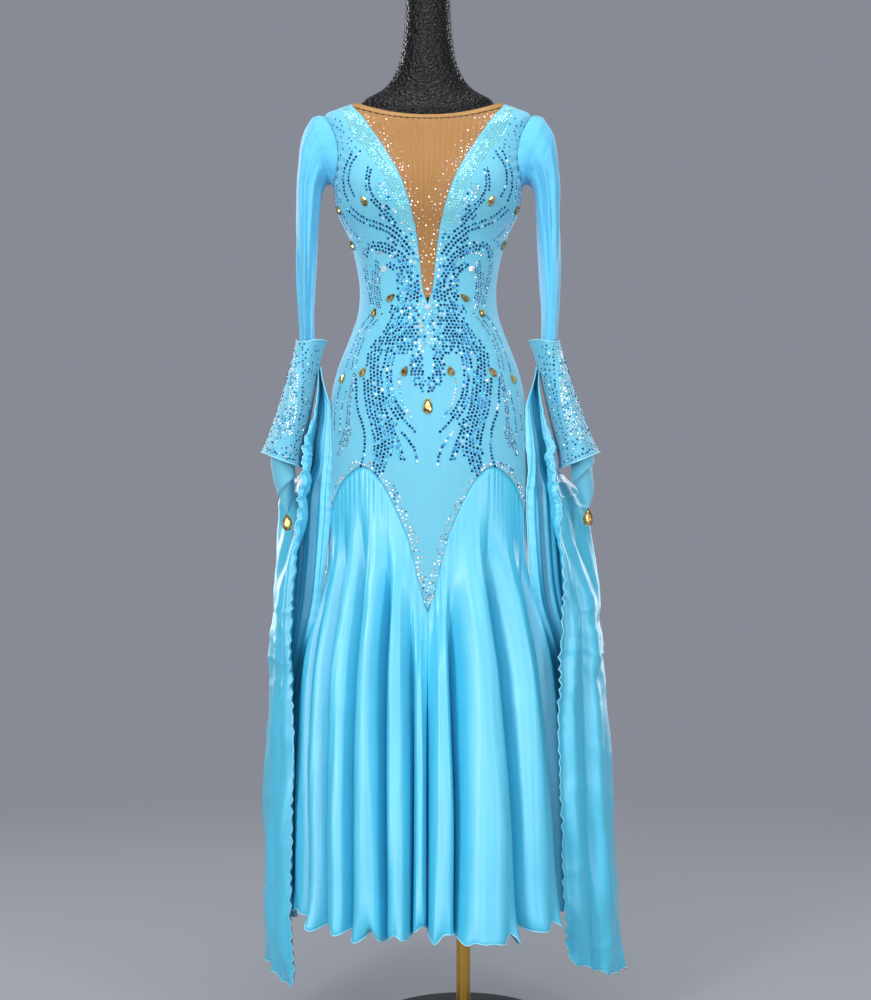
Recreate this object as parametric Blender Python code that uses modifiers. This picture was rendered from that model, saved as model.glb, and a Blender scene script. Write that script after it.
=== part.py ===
"""Ballroom dance dress on a limbless dress form with a pole and a round base.

Metres, +Z up, the front faces -Y, and x = 0 is the garment's centre line. Left and right are as seen from
the front. The origin is on the floor, on the underside of the base, below the centre line.
"""

import math
from functools import lru_cache

import bmesh
import bpy
from mathutils import Matrix, Vector

# ---------------------------------------------------------------- driving sizes
SEAM_GAP = 0.0004  # between two pieces that are sewn together
CREPE = 0.0015  # stretch crepe of the bodice
SATIN = 0.0012  # satin of the skirt and the floats
SLEEVE_MESH = 0.0012
CUFF_CLOTH = 0.0020  # two layers with a stiff one between
NUDE_MESH = 0.0012

WAIST_Z = 1.180  # the point of the V inset, where the lower grid meets the upper one
ARMPIT_Z = 1.385
SHOULDER_TIP_Z = 1.498
HEM_Z = 0.218
BINDING_HEIGHT = 0.007
RING_PITCH = 0.0125  # between two rings of the figure at the neckline

FORM_CLEARANCE = 0.0050  # from the cloth's outer face to the form
FORM_SHOULDER_CLEARANCE = 0.0110
FORM_BOTTOM_Z = 0.800
FORM_RIM_HEIGHT = 0.006  # the rounded rims at the bottom of the form and on its neck
FORM_RIM_SCALE, FORM_CROWN_SCALE = 0.94, 0.80
POLE_X = 0.058
POLE_RADIUS = 0.0115
SOCKET_DEPTH = 0.060
BASE_RADIUS = 0.150
BASE_THICKNESS = 0.016

BUST_X, BUST_Z = 0.072, 1.352
BUST_REACH_X, BUST_REACH_Z, BUST_HEIGHT = 0.042, 0.048, 0.016

# The figure as rings, bottom to top. A ring is a rounded oval whose side, front and back points may lie
# at different heights, so that it can pass over the shoulders. "square" under 1 makes the oval boxier.
RING_COLUMNS = ("side_z", "half_width", "front_z", "front", "back_z", "back", "square")
RINGS = (
    (0.620, 0.166, 0.620, 0.106, 0.620, 0.118, 1.00),
    (0.700, 0.167, 0.700, 0.108, 0.700, 0.122, 1.00),
    (0.780, 0.168, 0.780, 0.109, 0.780, 0.126, 1.00),
    (0.865, 0.169, 0.865, 0.110, 0.865, 0.129, 0.98),
    (0.950, 0.168, 0.950, 0.110, 0.950, 0.130, 0.96),
    (1.020, 0.162, 1.020, 0.107, 1.020, 0.124, 0.95),
    (1.080, 0.149, 1.080, 0.101, 1.080, 0.108, 0.95),
    (1.130, 0.130, 1.130, 0.094, 1.130, 0.092, 0.97),
    (1.172, 0.1155, 1.172, 0.088, 1.172, 0.082, 1.00),
    (1.215, 0.112, 1.215, 0.086, 1.215, 0.079, 1.00),
    (1.260, 0.1185, 1.260, 0.090, 1.260, 0.083, 0.97),
    (1.300, 0.130, 1.300, 0.098, 1.300, 0.090, 0.93),
    (1.340, 0.148, 1.335, 0.107, 1.340, 0.098, 0.90),
    (ARMPIT_Z, 0.154, 1.375, 0.106, 1.385, 0.103, 0.86),
    (1.425, 0.157, 1.410, 0.092, 1.420, 0.104, 0.82),
    (1.465, 0.163, 1.440, 0.077, 1.450, 0.100, 0.80),
    (SHOULDER_TIP_Z, 0.169, 1.463, 0.067, 1.475, 0.094, 0.80),
    (1.511, 0.146, 1.478, 0.059, 1.490, 0.086, 0.85),
    (1.520, 0.122, 1.491, 0.052, 1.503, 0.078, 0.90),
    (1.530, 0.098, 1.506, 0.046, 1.517, 0.070, 0.95),
    (1.548, 0.069, 1.530, 0.041, 1.538, 0.060, 1.00),
    (1.580, 0.050, 1.570, 0.038, 1.574, 0.050, 1.00),
    (1.625, 0.041, 1.622, 0.0365, 1.622, 0.043, 1.00),
    (1.665, 0.038, 1.665, 0.036, 1.665, 0.040, 1.00),
    (1.705, 0.0365, 1.705, 0.0355, 1.705, 0.0385, 1.00),
)
NECKLINE_RING, NECK_TOP_RING = 18.0, 24.0

# Half the V inset, seen from the front.
V_COLUMNS = ("z", "half_width")
V_EDGE = (
    (WAIST_Z, 0.0),
    (1.205, 0.0075),
    (1.250, 0.0120),
    (1.300, 0.0185),
    (1.345, 0.0300),
    (1.390, 0.0470),
    (1.430, 0.0680),
    (1.465, 0.0910),
    (1.520, 0.1220),
)

# The pointed seam between bodice and skirt over a quarter of the figure, from the centre to the side.
SEAM_COLUMNS = ("degrees", "z")
POINTED_SEAM = (
    (0.0, 0.694),
    (11.0, 0.812),
    (24.0, 0.893),
    (36.0, 0.922),
    (48.0, 0.910),
    (60.0, 0.880),
    (75.0, 0.812),
    (90.0, 0.694),
)

# The skirt's middle surface below the seam.
FLARE_COLUMNS = ("z", "left", "right", "front", "back")
FLARE = (
    (0.930, 0.168, 0.168, 0.110, 0.130),
    (0.800, 0.171, 0.171, 0.117, 0.136),
    (0.690, 0.184, 0.186, 0.130, 0.148),
    (0.620, 0.198, 0.200, 0.144, 0.161),
    (0.550, 0.205, 0.208, 0.160, 0.175),
    (0.400, 0.206, 0.211, 0.190, 0.205),
    (0.280, 0.202, 0.208, 0.212, 0.228),
    (0.200, 0.199, 0.208, 0.222, 0.240),
)
FOLD_DEPTH = 0.045  # from a valley to a crest at the hem
VALLEY_DEPTH = 0.014

# The skirt's folds: where each valley starts on the seam and ends at the hem, in degrees from the front
# centre towards +X, how far the crest after it stands out, and how much lower its hem hangs.
FOLD_COLUMNS = ("top", "hem", "crest", "drop")
FOLDS = {
    "skirt_front_left": (
        (-90, -90, 0.75, 0.000),
        (-79, -76, 0.80, -0.006),
        (-67, -57, 0.95, 0.000),
        (-53, -45, 1.00, 0.004),
        (-39, -32, 1.05, 0.006),
        (-23, -18, 0.95, 0.000),
        (-9, -6, 0.55, -0.006),
    ),
    "skirt_front_right": (
        (0, 0, 0.80, 0.004),
        (12, 12, 1.25, 0.008),
        (35, 38, 1.15, 0.004),
        (63, 64, 0.85, -0.006),
        (77, 78, 0.80, 0.000),
    ),
    "skirt_back_right": (
        (90, 90, 0.80, 0.000),
        (103, 104, 1.00, 0.004),
        (119, 121, 0.85, -0.004),
        (132, 135, 1.10, 0.004),
        (148, 150, 0.85, 0.000),
        (163, 166, 1.00, 0.005),
    ),
    "skirt_back_left": (
        (180, 180, 1.00, 0.004),
        (195, 196, 0.85, -0.003),
        (209, 210, 1.10, 0.004),
        (225, 226, 0.90, 0.000),
        (241, 240, 1.00, 0.004),
        (256, 255, 0.80, -0.004),
    ),
}
FOLD_ENDS = {"skirt_front_left": 0, "skirt_front_right": 90, "skirt_back_right": 180, "skirt_back_left": 270}

# The sleeve as rings on the +X side, down the arm. Each ring is an oval from its inner point, next to the
# body, to its outer point, and depth is half its size front to back.
SLEEVE_COLUMNS = ("inner_x", "inner_z", "outer_x", "outer_z", "y", "depth")
SLEEVE = (
    (0.1580, 1.3860, 0.1985, 1.4960, -0.001, 0.0500),
    (0.1620, 1.3865, 0.2090, 1.4650, -0.002, 0.0500),
    (0.1665, 1.3840, 0.2140, 1.4300, -0.003, 0.0490),
    (0.1720, 1.3720, 0.2165, 1.3880, -0.004, 0.0470),
    (0.1755, 1.3400, 0.2170, 1.3420, -0.007, 0.0450),
    (0.1780, 1.2900, 0.2170, 1.2900, -0.010, 0.0420),
    (0.1805, 1.2400, 0.2160, 1.2400, -0.012, 0.0395),
    (0.1835, 1.1850, 0.2130, 1.1850, -0.015, 0.0370),
    (0.1845, 1.1150, 0.2100, 1.1150, -0.018, 0.0340),
    (0.1955, 1.0500, 0.2240, 1.0500, -0.024, 0.0310),
)
SLEEVE_CREASES = 5
SLEEVE_CREASE_DEPTH = 0.0020

# What differs between the two arms: the cuff's lower edge, and the hanging tip of the hand point.
ARM_COLUMNS = ("sign", "cuff_inner_x", "cuff_outer_x", "tip_x", "tip_z")
ARMS = {
    "left": (-1, 0.205, 0.267, 0.228, 0.850),
    "right": (1, 0.217, 0.276, 0.260, 0.858),
}
CUFF_TOP_Z, CUFF_TOP_INNER_X, CUFF_TOP_OUTER_X = 1.128, 0.171, 0.2145
CUFF_INNER_Z, CUFF_OUTER_Z = 0.922, 0.942  # the lower edge is higher on the outer side
CUFF_TOP_DEPTH, CUFF_DEPTH = 0.045, 0.056
CUFF_Y = -0.020
HAND_POINT_TOP_Z = 0.985
HAND_POINT_Y = -0.030

# The floats, each a wide satin panel that hangs from the inner side of a cuff. Seen from above it is a
# hairpin: from its front edge at (lip, front) out by bend to (outer, turn), then back in beside the hip
# to its other edge at (inner, back).
FLOAT_TOP_Z = 1.085
FLOAT_COLUMNS = ("z", "lip", "front", "bend", "outer", "turn", "inner", "back")
FLOATS = {
    "left": (
        (FLOAT_TOP_Z, 0.1730, -0.036, 0.1730, 0.1740, 0.000, 0.1690, -0.036),
        (1.020, 0.1800, -0.046, 0.1810, 0.1820, 0.000, 0.1600, -0.036),
        (0.965, 0.1890, -0.054, 0.1900, 0.1920, 0.012, 0.1600, -0.044),
        (0.925, 0.1960, -0.060, 0.1970, 0.1990, 0.026, 0.1610, -0.046),
        (0.885, 0.2010, -0.064, 0.2030, 0.2370, 0.034, 0.1615, -0.047),
        (0.840, 0.2060, -0.067, 0.2080, 0.2440, 0.036, 0.1625, -0.048),
        (0.720, 0.2150, -0.074, 0.2420, 0.2510, 0.038, 0.1780, -0.046),
        (0.640, 0.2170, -0.078, 0.2490, 0.2550, 0.042, 0.1990, -0.036),
        (0.560, 0.2180, -0.081, 0.2530, 0.2590, 0.048, 0.2150, 0.032),
        (0.400, 0.2190, -0.084, 0.2580, 0.2650, 0.052, 0.2230, 0.046),
        (0.250, 0.2200, -0.086, 0.2610, 0.2690, 0.054, 0.2270, 0.052),
        (0.170, 0.2080, -0.082, 0.2460, 0.2670, 0.050, 0.2200, 0.050),
    ),
    "right": (
        (FLOAT_TOP_Z, 0.1730, -0.036, 0.1730, 0.1740, 0.000, 0.1690, -0.036),
        (1.020, 0.1840, -0.046, 0.1850, 0.1860, 0.000, 0.1610, -0.036),
        (0.965, 0.1940, -0.054, 0.1960, 0.1990, 0.012, 0.1640, -0.044),
        (0.925, 0.1990, -0.060, 0.2030, 0.2070, 0.026, 0.1660, -0.046),
        (0.885, 0.2020, -0.064, 0.2090, 0.2490, 0.034, 0.1670, -0.047),
        (0.840, 0.2050, -0.067, 0.2150, 0.2640, 0.036, 0.1680, -0.048),
        (0.720, 0.2100, -0.074, 0.2560, 0.2790, 0.040, 0.1800, -0.046),
        (0.640, 0.2130, -0.078, 0.2700, 0.2850, 0.044, 0.2000, -0.036),
        (0.560, 0.2160, -0.081, 0.2800, 0.2900, 0.050, 0.2170, 0.032),
        (0.400, 0.2220, -0.084, 0.2920, 0.3010, 0.054, 0.2290, 0.048),
        (0.250, 0.2260, -0.086, 0.3000, 0.3110, 0.056, 0.2360, 0.054),
        (0.170, 0.2190, -0.082, 0.2960, 0.3240, 0.052, 0.2300, 0.052),
    ),
}
FLOAT_TURN = 0.42  # the share of the width where the hairpin turns
FRONT_WAVES, BACK_WAVES = 1, 4  # folds before and after the turn
FLOAT_WAVE = 0.0045  # half the depth of a fold
FLOAT_TOP_FOLD = 0.0052  # between the two layers that are sewn to the cuff
PLAN_STEP = 0.01  # the share of the width over which the direction of a float is found
FLOAT_POINTS = {"left": 0.16, "right": 0.38}  # the share of the width, from the front, where a point hangs
FLOAT_POINT_DROP = 0.078  # how far the point of the lower edge hangs below its ends
FLOAT_POINT_REACH = 0.50  # the share of the width over which the point rises on each side

# Drop stones sewn on the front, seen from the front; those with x > 0 are mirrored.
DROP_COLUMNS = ("x", "z", "lean_degrees", "half_width", "half_length")
DROPS = (
    (0.0000, 1.0190, 0, 0.0080, 0.0135),
    (0.0360, 1.0740, 20, 0.0055, 0.0090),
    (0.0585, 1.1930, 50, 0.0055, 0.0090),
    (0.0855, 1.1700, 20, 0.0050, 0.0080),
    (0.1030, 1.0740, 35, 0.0055, 0.0090),
    (0.1365, 1.0650, 35, 0.0055, 0.0090),
    (0.1005, 1.3440, -28, 0.0060, 0.0095),
    (0.1430, 1.3400, -15, 0.0055, 0.0090),
    (0.1220, 1.2850, -12, 0.0055, 0.0090),
)
HANGING_DROP = (0.0085, 0.0145)  # half width, half length
DROP_HEIGHT = 0.0045
DROP_LIFT = 0.0015  # the flat back above the cloth, so that its edge clears the curve
DROP_SIDES = 12


# ---------------------------------------------------------------- tables and small maths
def mix(a, b, t):
    return a + (b - a) * t


def smooth_step(t):
    t = min(1.0, max(0.0, t))
    return t * t * (3 - 2 * t)


def cubic(a, b, c, d, t):
    """A point between b and c on the Catmull-Rom curve through a, b, c and d."""
    return 0.5 * (2 * b + (c - a) * t + (2 * a - 5 * b + 4 * c - d) * t**2 + (3 * b - a - 3 * c + d) * t**3)


def table_row(table, position):
    """A row between the table's rows, on smooth curves through them. position counts rows from 0."""
    last = len(table) - 1
    i = min(max(int(position), 0), last - 1)
    rows = [table[min(max(k, 0), last)] for k in (i - 1, i, i + 1, i + 2)]
    return [cubic(*values, position - i) for values in zip(*rows)]


def table_at(table, value):
    """The table's other columns where its first column, which rises or falls steadily, has this value."""
    keys = [row[0] for row in table]
    rising = keys[-1] > keys[0]
    i = 0
    while i < len(keys) - 2 and (value > keys[i + 1]) == rising:
        i += 1
    share = (value - keys[i]) / (keys[i + 1] - keys[i])
    return table_row(table, i + share)[1:]


# ---------------------------------------------------------------- the figure
def signed_power(value, power):
    return math.copysign(abs(value) ** power, value)


@lru_cache(maxsize=None)
def ring(position):
    return tuple(table_row(RINGS, position))


def figure(degrees, position):
    """A point of the cloth's outer face: degrees round from the front centre, position up the rings."""
    side_z, half_width, front_z, front, back_z, back, square = ring(position)
    s, c = math.sin(math.radians(degrees)), math.cos(math.radians(degrees))
    middle_z, depth = (front_z, front) if c > 0 else (back_z, back)
    x = half_width * signed_power(s, square)
    z = side_z + (middle_z - side_z) * c * c
    y = -depth * signed_power(c, square)
    if c > 0:
        away_x, away_z = (abs(x) - BUST_X) / BUST_REACH_X, (z - BUST_Z) / BUST_REACH_Z
        y -= BUST_HEIGHT * c**0.5 * math.exp(-(away_x**2) - away_z**2)
    return Vector((x, y, z))


def figure_normal(degrees, position):
    """The outward direction at a point of the figure."""
    step = 0.02
    round_it = figure(degrees + 1.0, position) - figure(degrees - 1.0, position)
    up = figure(degrees, position + step) - figure(degrees, position - step)
    return round_it.cross(up).normalized()


def position_at(z, degrees):
    """Where up the rings the figure has this height, at these degrees."""
    low, high = 0.0, NECK_TOP_RING
    for _ in range(40):
        middle = (low + high) / 2
        if figure(degrees, middle).z < z:
            low = middle
        else:
            high = middle
    return (low + high) / 2


def seen_at(x, z):
    """(degrees, position) of the front point that is seen at x and z from the front."""
    low, high = 0.0, NECKLINE_RING
    for _ in range(40):
        middle = (low + high) / 2
        row = ring(middle)
        degrees = degrees_at(x, row)
        height = row[0] + (row[2] - row[0]) * math.cos(math.radians(degrees)) ** 2
        if height < z:
            low = middle
        else:
            high = middle
    return degrees_at(x, ring((low + high) / 2)), (low + high) / 2


def degrees_at(x, row):
    share = min(1.0, abs(x) / row[1])
    return math.copysign(math.degrees(math.asin(share ** (1 / row[6]))), x)


# ---------------------------------------------------------------- building meshes
def make_material(name, colour, roughness, metallic=0.0):
    material = bpy.data.materials.new(name)
    material.use_nodes = True
    shader = material.node_tree.nodes["Principled BSDF"]
    shader.inputs["Base Color"].default_value = (*colour, 1.0)
    shader.inputs["Roughness"].default_value = roughness
    shader.inputs["Metallic"].default_value = metallic
    return material


def add_object(name, mesh, material, collection):
    made = bpy.data.objects.new(name, mesh)
    collection.objects.link(made)
    mesh.materials.append(material)
    mesh.shade_smooth()
    return made


def grid_mesh(name, rows, closed=False):
    """A sheet of quads through rows of points. Rows go up and points go round towards +X, so it faces out."""
    across = len(rows[0])
    points = [tuple(point) for row in rows for point in row]
    faces = []
    for r in range(len(rows) - 1):
        for c in range(across if closed else across - 1):
            right = (c + 1) % across
            low, high = r * across, (r + 1) * across
            faces.append((low + c, low + right, high + right, high + c))
    mesh = bpy.data.meshes.new(name)
    mesh.from_pydata(points, [], faces)
    return mesh


def add_thickness(made, thickness):
    """Makes the sheet a wall whose outer face is the sheet."""
    solidify = made.modifiers.new("cloth", "SOLIDIFY")
    solidify.thickness = thickness
    solidify.offset = -1.0
    return made


def add_mirror(made):
    mirror = made.modifiers.new("other half", "MIRROR")
    mirror.merge_threshold = 0.00005


def closed_loft(name, rows):
    """A solid through closed rings of points, bottom to top, with flat ends."""
    mesh = grid_mesh(name, rows, closed=True)
    work = bmesh.new()
    work.from_mesh(mesh)
    work.verts.ensure_lookup_table()
    across, count = len(rows[0]), len(work.verts)
    work.faces.new([work.verts[i] for i in reversed(range(across))])
    work.faces.new([work.verts[i] for i in range(count - across, count)])
    work.to_mesh(mesh)
    work.free()
    return mesh


# ---------------------------------------------------------------- bodice
QUARTER_COLUMNS = 9
LOWER_ROWS = 5
SIDE_ROWS = 4  # from the waist row to the armpit
ARMHOLE_ROWS = 7
ARMHOLE_REACH = 27.0  # degrees from the side


def seam_z(degrees):
    """The height of the pointed seam; it has a point at the centre, the sides and the back centre."""
    folded = abs((degrees + 180) % 360 - 180)
    return table_at(POINTED_SEAM, folded if folded <= 90 else 180 - folded)[0]


def armhole(share):
    """(degrees from the side, height) of the armhole's edge, from the armpit at 0 to the shoulder at 1."""
    z = mix(ARMPIT_Z, SHOULDER_TIP_Z, (1 - math.cos(math.pi * share)) / 2)
    return ARMHOLE_REACH * math.sin(math.pi * share) ** 0.85, z


def v_half_width(z):
    keys = [row[0] for row in V_EDGE]
    return max(0.0, table_at(V_EDGE, min(max(z, keys[0]), keys[-1]))[0])


def side_edge(row, front):
    """(degrees, position) of a bodice panel's outer edge: the side seam, then the armhole."""
    side = 90.0
    if row <= SIDE_ROWS:
        return side, position_at(mix(WAIST_Z, ARMPIT_Z, row / SIDE_ROWS), side)
    reach, z = armhole((row - SIDE_ROWS) / ARMHOLE_ROWS)
    degrees = side - reach if front else side + reach
    return degrees, position_at(z, degrees)


def v_edge(row):
    """(degrees, position) of the front panel's inner edge: the V, up to the shoulder seam."""
    share = row / (SIDE_ROWS + ARMHOLE_ROWS)
    z = mix(V_EDGE[0][0], V_EDGE[-1][0], share**0.93)
    if row == SIDE_ROWS + ARMHOLE_ROWS:
        return 90.0, NECKLINE_RING
    return seen_at(v_half_width(z), z)


def back_centre(row):
    """(degrees, position) up the back centre, to the neckline."""
    top = SIDE_ROWS + ARMHOLE_ROWS
    return 180.0, mix(position_at(WAIST_Z, 180.0), NECKLINE_RING, row / top)


def quarter_rows(front):
    """Rows of points over the +X half of a bodice panel, from its centre edge to its side edge."""
    turns = [90.0 * c / QUARTER_COLUMNS for c in range(QUARTER_COLUMNS + 1)]
    if not front:
        turns = [180.0 - t for t in turns]
    rows = []
    for r in range(LOWER_ROWS):
        row = []
        for turn in turns:
            z = mix(seam_z(turn), WAIST_Z, r / LOWER_ROWS)
            row.append((turn, position_at(z, turn)))
        rows.append(row)
    for r in range(SIDE_ROWS + ARMHOLE_ROWS + 1):
        inner, outer = (v_edge(r) if front else back_centre(r)), side_edge(r, front)
        rows.append([])
        for c in range(QUARTER_COLUMNS + 1):
            share = c / QUARTER_COLUMNS
            rows[-1].append((mix(inner[0], outer[0], share), mix(inner[1], outer[1], share)))
    return rows


def bodice_points(front):
    """The panel's points, with its edges a gap short of the side seam and of the sharper shoulder seam."""
    rows = [[figure(*at) for at in row] for row in quarter_rows(front)]
    towards = -SEAM_GAP if front else SEAM_GAP
    for row in rows:
        row[-1].y += towards
    for point in rows[-1]:
        point.y += towards
    for row in rows[: LOWER_ROWS + 1]:
        row[0].x = 0.0
    return rows if front else [list(reversed(row)) for row in rows]


def build_bodice(collection, materials):
    for name, front in (("bodice_front", True), ("bodice_back", False)):
        made = add_object(name, grid_mesh(name, bodice_points(front)), materials["crepe"], collection)
        add_mirror(made)
        add_thickness(made, CREPE)


def v_edge_point(row):
    """A point of the front panel's V edge as its straight facets have it; row need not be whole."""
    low = min(int(row), SIDE_ROWS + ARMHOLE_ROWS - 1)
    return figure(*v_edge(low)).lerp(figure(*v_edge(low + 1)), row - low)


def v_edge_at(row):
    """(degrees, position) of the V edge at a row that need not be whole."""
    low = min(int(row), SIDE_ROWS + ARMHOLE_ROWS - 1)
    a, b = v_edge(low), v_edge(low + 1)
    return mix(a[0], b[0], row - low), mix(a[1], b[1], row - low)


def v_row_at(position):
    """The row, whole or not, where the V edge crosses a ring of the figure."""
    low, high = 0.0, float(SIDE_ROWS + ARMHOLE_ROWS)
    for _ in range(30):
        middle = (low + high) / 2
        if v_edge_at(middle)[1] < position:
            low = middle
        else:
            high = middle
    return low


INSET_COLUMNS = 3
INSET_TIP_ROW = 0.3  # where the wedge of the V is wide enough for a piece of its own
INSET_GAP = 1.6 * SEAM_GAP  # measured sideways, as the V edge slants
BINDING_COLUMNS = 10
BINDING_STEP = 0.18  # of a ring, from the inset up to the binding


def inset_row(row, centre_position):
    """Points from the centre line to a seam gap short of the V edge."""
    degrees, position = v_edge_at(row)
    points = []
    for c in range(INSET_COLUMNS + 1):
        share = c / INSET_COLUMNS
        points.append(figure(degrees * share, mix(centre_position, position, share**1.5)))
    points[0].x = 0.0
    points[-1] = v_edge_point(row) - Vector((INSET_GAP, 0, 0))
    return points


def build_inset(collection, materials):
    """The nude mesh in the V, and its binding along the neckline."""
    top = NECKLINE_RING - BINDING_HEIGHT / RING_PITCH
    start = position_at(V_EDGE[0][0], 0.0)
    last = v_row_at(top)
    rows = []
    for row in (INSET_TIP_ROW, *range(1, int(last) + 1), last):
        rows.append(inset_row(row, mix(start, top, row / last)))
    made = add_object("v_inset", grid_mesh("v_inset", rows), materials["nude"], collection)
    add_mirror(made)
    add_thickness(made, NUDE_MESH)

    strip = []
    for position in (top + BINDING_STEP, NECKLINE_RING):
        row = v_row_at(position)
        end = v_edge_at(row)[0]
        strip.append([figure(end * c / BINDING_COLUMNS, position) for c in range(BINDING_COLUMNS)])
        strip[-1].append(v_edge_point(row) - Vector((2 * SEAM_GAP, 0, 0)))
        strip[-1][0].x = 0.0
    made = add_object("neck_binding", grid_mesh("neck_binding", strip), materials["nude"], collection)
    add_mirror(made)
    add_thickness(made, 1.5 * NUDE_MESH)


# ---------------------------------------------------------------- skirt
FOLD_STEPS = 4  # columns to a fold
SEAM_CORNER_DROP = 0.0030  # lowers the skirt below the seam's points, where its gap narrows
STRAIGHT_SHARE = 1 / 3.2  # of the way down, over which a godet turns from the hips' line to its flare
SKIRT_ROWS = 7


def seam_polyline():
    """The bodice's lower edge all round, as its panels have it: one point for each of their columns."""
    points = []
    for k in range(4 * QUARTER_COLUMNS + 1):
        degrees = 90.0 * k / QUARTER_COLUMNS - 180.0
        points.append((degrees, figure(degrees, position_at(seam_z(degrees), degrees))))
    return points


def seam_point(degrees, side, polyline):
    """The seam's point at these degrees, and the direction down from it along the cloth.

    side is 1 at the first edge of a skirt piece and -1 at its last, where the seam has a corner.
    """
    wrapped = (degrees + 180.0) % 360.0 + 0.001 * side
    wrapped += 360.0 if wrapped < 0 else 0.0
    i = min(int(wrapped / (90.0 / QUARTER_COLUMNS)), len(polyline) - 2)
    (at_a, a), (at_b, b) = polyline[i], polyline[i + 1]
    share = (wrapped - 180.0 - at_a) / (at_b - at_a)
    outward = Vector((a.x + b.x, a.y + b.y, 0)).normalized()
    down = (b - a).cross(outward).normalized()
    return a.lerp(b, share), down if down.z < 0 else -down


def flare_point(degrees, z):
    left, right, front, back = table_at(FLARE, z)
    s, c = math.sin(math.radians(degrees)), math.cos(math.radians(degrees))
    return Vector(((right if s > 0 else left) * s, -(front if c > 0 else back) * c, z))


def godet_columns(name):
    """For each column of a skirt piece: (top degrees, hem degrees, how far out, hem drop)."""
    folds = [*FOLDS[name], (FOLD_ENDS[name], FOLD_ENDS[name], 0.0, 0.0)]
    columns = []
    for first, after in zip(folds, folds[1:]):
        for step in range(FOLD_STEPS):
            share = step / FOLD_STEPS
            bump = math.sin(math.pi * share) ** 0.8
            top, hem = mix(first[0], after[0], share), mix(first[1], after[1], share)
            columns.append((top, hem, first[2] * bump, first[3] * bump))
    columns.append((folds[-1][0], folds[-1][1], 0.0, 0.0))
    return columns


def godet_point(column, share, side, polyline):
    """A point of the skirt, share of the way from the seam to the hem."""
    top_degrees, hem_degrees, out, drop = column
    start, down = seam_point(top_degrees, side, polyline)
    hem = HEM_Z - drop
    z = mix(start.z, hem, share)
    degrees = mix(top_degrees, hem_degrees, share)
    hung = flare_point(degrees, z)
    radial = Vector((hung.x, hung.y, 0)).normalized()
    hung += radial * (out * FOLD_DEPTH * share**0.7 - VALLEY_DEPTH * smooth_step(share * 3))
    joined = smooth_step(share / STRAIGHT_SHARE)
    straight = Vector((start.x, start.y, z))
    corner = SEAM_CORNER_DROP * (1 - share) if side else 0.0
    return straight.lerp(hung, joined) + down * SEAM_GAP * 1.5 * (1 - share) - Vector((0, 0, corner))


def build_skirt(collection, materials):
    polyline = seam_polyline()
    for name in FOLDS:
        columns = godet_columns(name)
        rows = []
        for r in range(SKIRT_ROWS + 1):
            share = 1 - (r / SKIRT_ROWS) ** 1.25 if r else 1.0
            sides = [1] + [0] * (len(columns) - 2) + [-1]
            rows.append([godet_point(column, share, side, polyline) for column, side in zip(columns, sides)])
        for row in rows:  # half a gap from the next piece, at both long edges
            for edge, inner in ((0, 1), (-1, -2)):
                row[edge] += (row[inner] - row[edge]).normalized() * SEAM_GAP
        made = add_object(name, grid_mesh(name, rows), materials["satin"], collection)
        add_thickness(made, SATIN)


# ---------------------------------------------------------------- sleeves
ARMHOLE_GAP = 0.0009  # from the armhole's edge to the sleeve, outwards


def armhole_loop():
    """The armhole's edge on the +X side: from the armpit up the front, over the shoulder, down the back."""
    loop = []
    for front in (True, False):
        edge = [figure(*side_edge(SIDE_ROWS + r, front)) for r in range(ARMHOLE_ROWS + 1)]
        loop += edge[:-1] if front else list(reversed(edge))[:-1]
    return loop


def sleeve_ring(row, count):
    """One ring of the sleeve, in the armhole loop's order."""
    inner_x, inner_z, outer_x, outer_z, y, depth = row
    inner, outer = Vector((inner_x, y, inner_z)), Vector((outer_x, y, outer_z))
    points = []
    for i in range(count):
        turn = 2 * math.pi * i / count
        crease = 1 - SLEEVE_CREASE_DEPTH / depth * (1 + math.cos(SLEEVE_CREASES * turn))
        point = inner.lerp(outer, (1 - math.cos(turn)) / 2)
        points.append(point - Vector((0, depth * math.sin(turn) * crease, 0)))
    return points


def hand_sections(side):
    """The hand point from its tip to its top: (x, z, half width, half depth) of each ring."""
    _, inner_x, outer_x, tip_x, tip_z = ARMS[side]
    middle = mix(inner_x, outer_x, 0.5)
    return (
        (tip_x, tip_z, 0.0025, 0.0030),
        (mix(tip_x, middle, 0.25), mix(tip_z, 0.905, 0.50), 0.0120, 0.0130),
        (mix(tip_x, middle, 0.55), 0.905, 0.0165, 0.0230),
        (mix(tip_x, middle, 0.85), 0.940, 0.0170, 0.0280),
        (middle - 0.010, HAND_POINT_TOP_Z, 0.0140, 0.0290),
    )


def build_sleeves(collection, materials):
    loop = armhole_loop()
    first = [point + Vector((ARMHOLE_GAP, 0, 0)) for point in loop]
    for side, (sign, *_) in ARMS.items():
        x, z, half, depth = hand_sections(side)[-1]
        z += 2 * SEAM_GAP
        last = (x - half, z, x + half, z, HAND_POINT_Y, depth)
        rings = [first] + [sleeve_ring(row, len(loop)) for row in (*SLEEVE, last)]
        rows = [[Vector((sign * p.x, p.y, p.z)) for p in ring_points] for ring_points in reversed(rings)]
        if sign < 0:
            rows = [list(reversed(row)) for row in rows]
        name = f"sleeve_{side}"
        made = add_object(name, grid_mesh(name, rows, closed=True), materials["sleeve_mesh"], collection)
        add_thickness(made, SLEEVE_MESH)


# ---------------------------------------------------------------- cuffs, hand points and floats
TUBE_COLUMNS = 16
CUFF_ROWS = 3
CUFF_TOP_TILT = 0.004  # how much higher the outer side of the top edge is than its middle
CUFF_FLARE = 1.15  # over 1, the outer side flares more towards the lower edge
HAND_COLUMNS = 10
FRONT_COLUMNS, BACK_COLUMNS = 5, 12  # columns of a float before and after its turn
FLOAT_STOPS = (0, 1, 2, 3, 4, 5, 6, 8, 9.5, 11)  # the rows of the floats' tables that get a row of points


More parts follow.
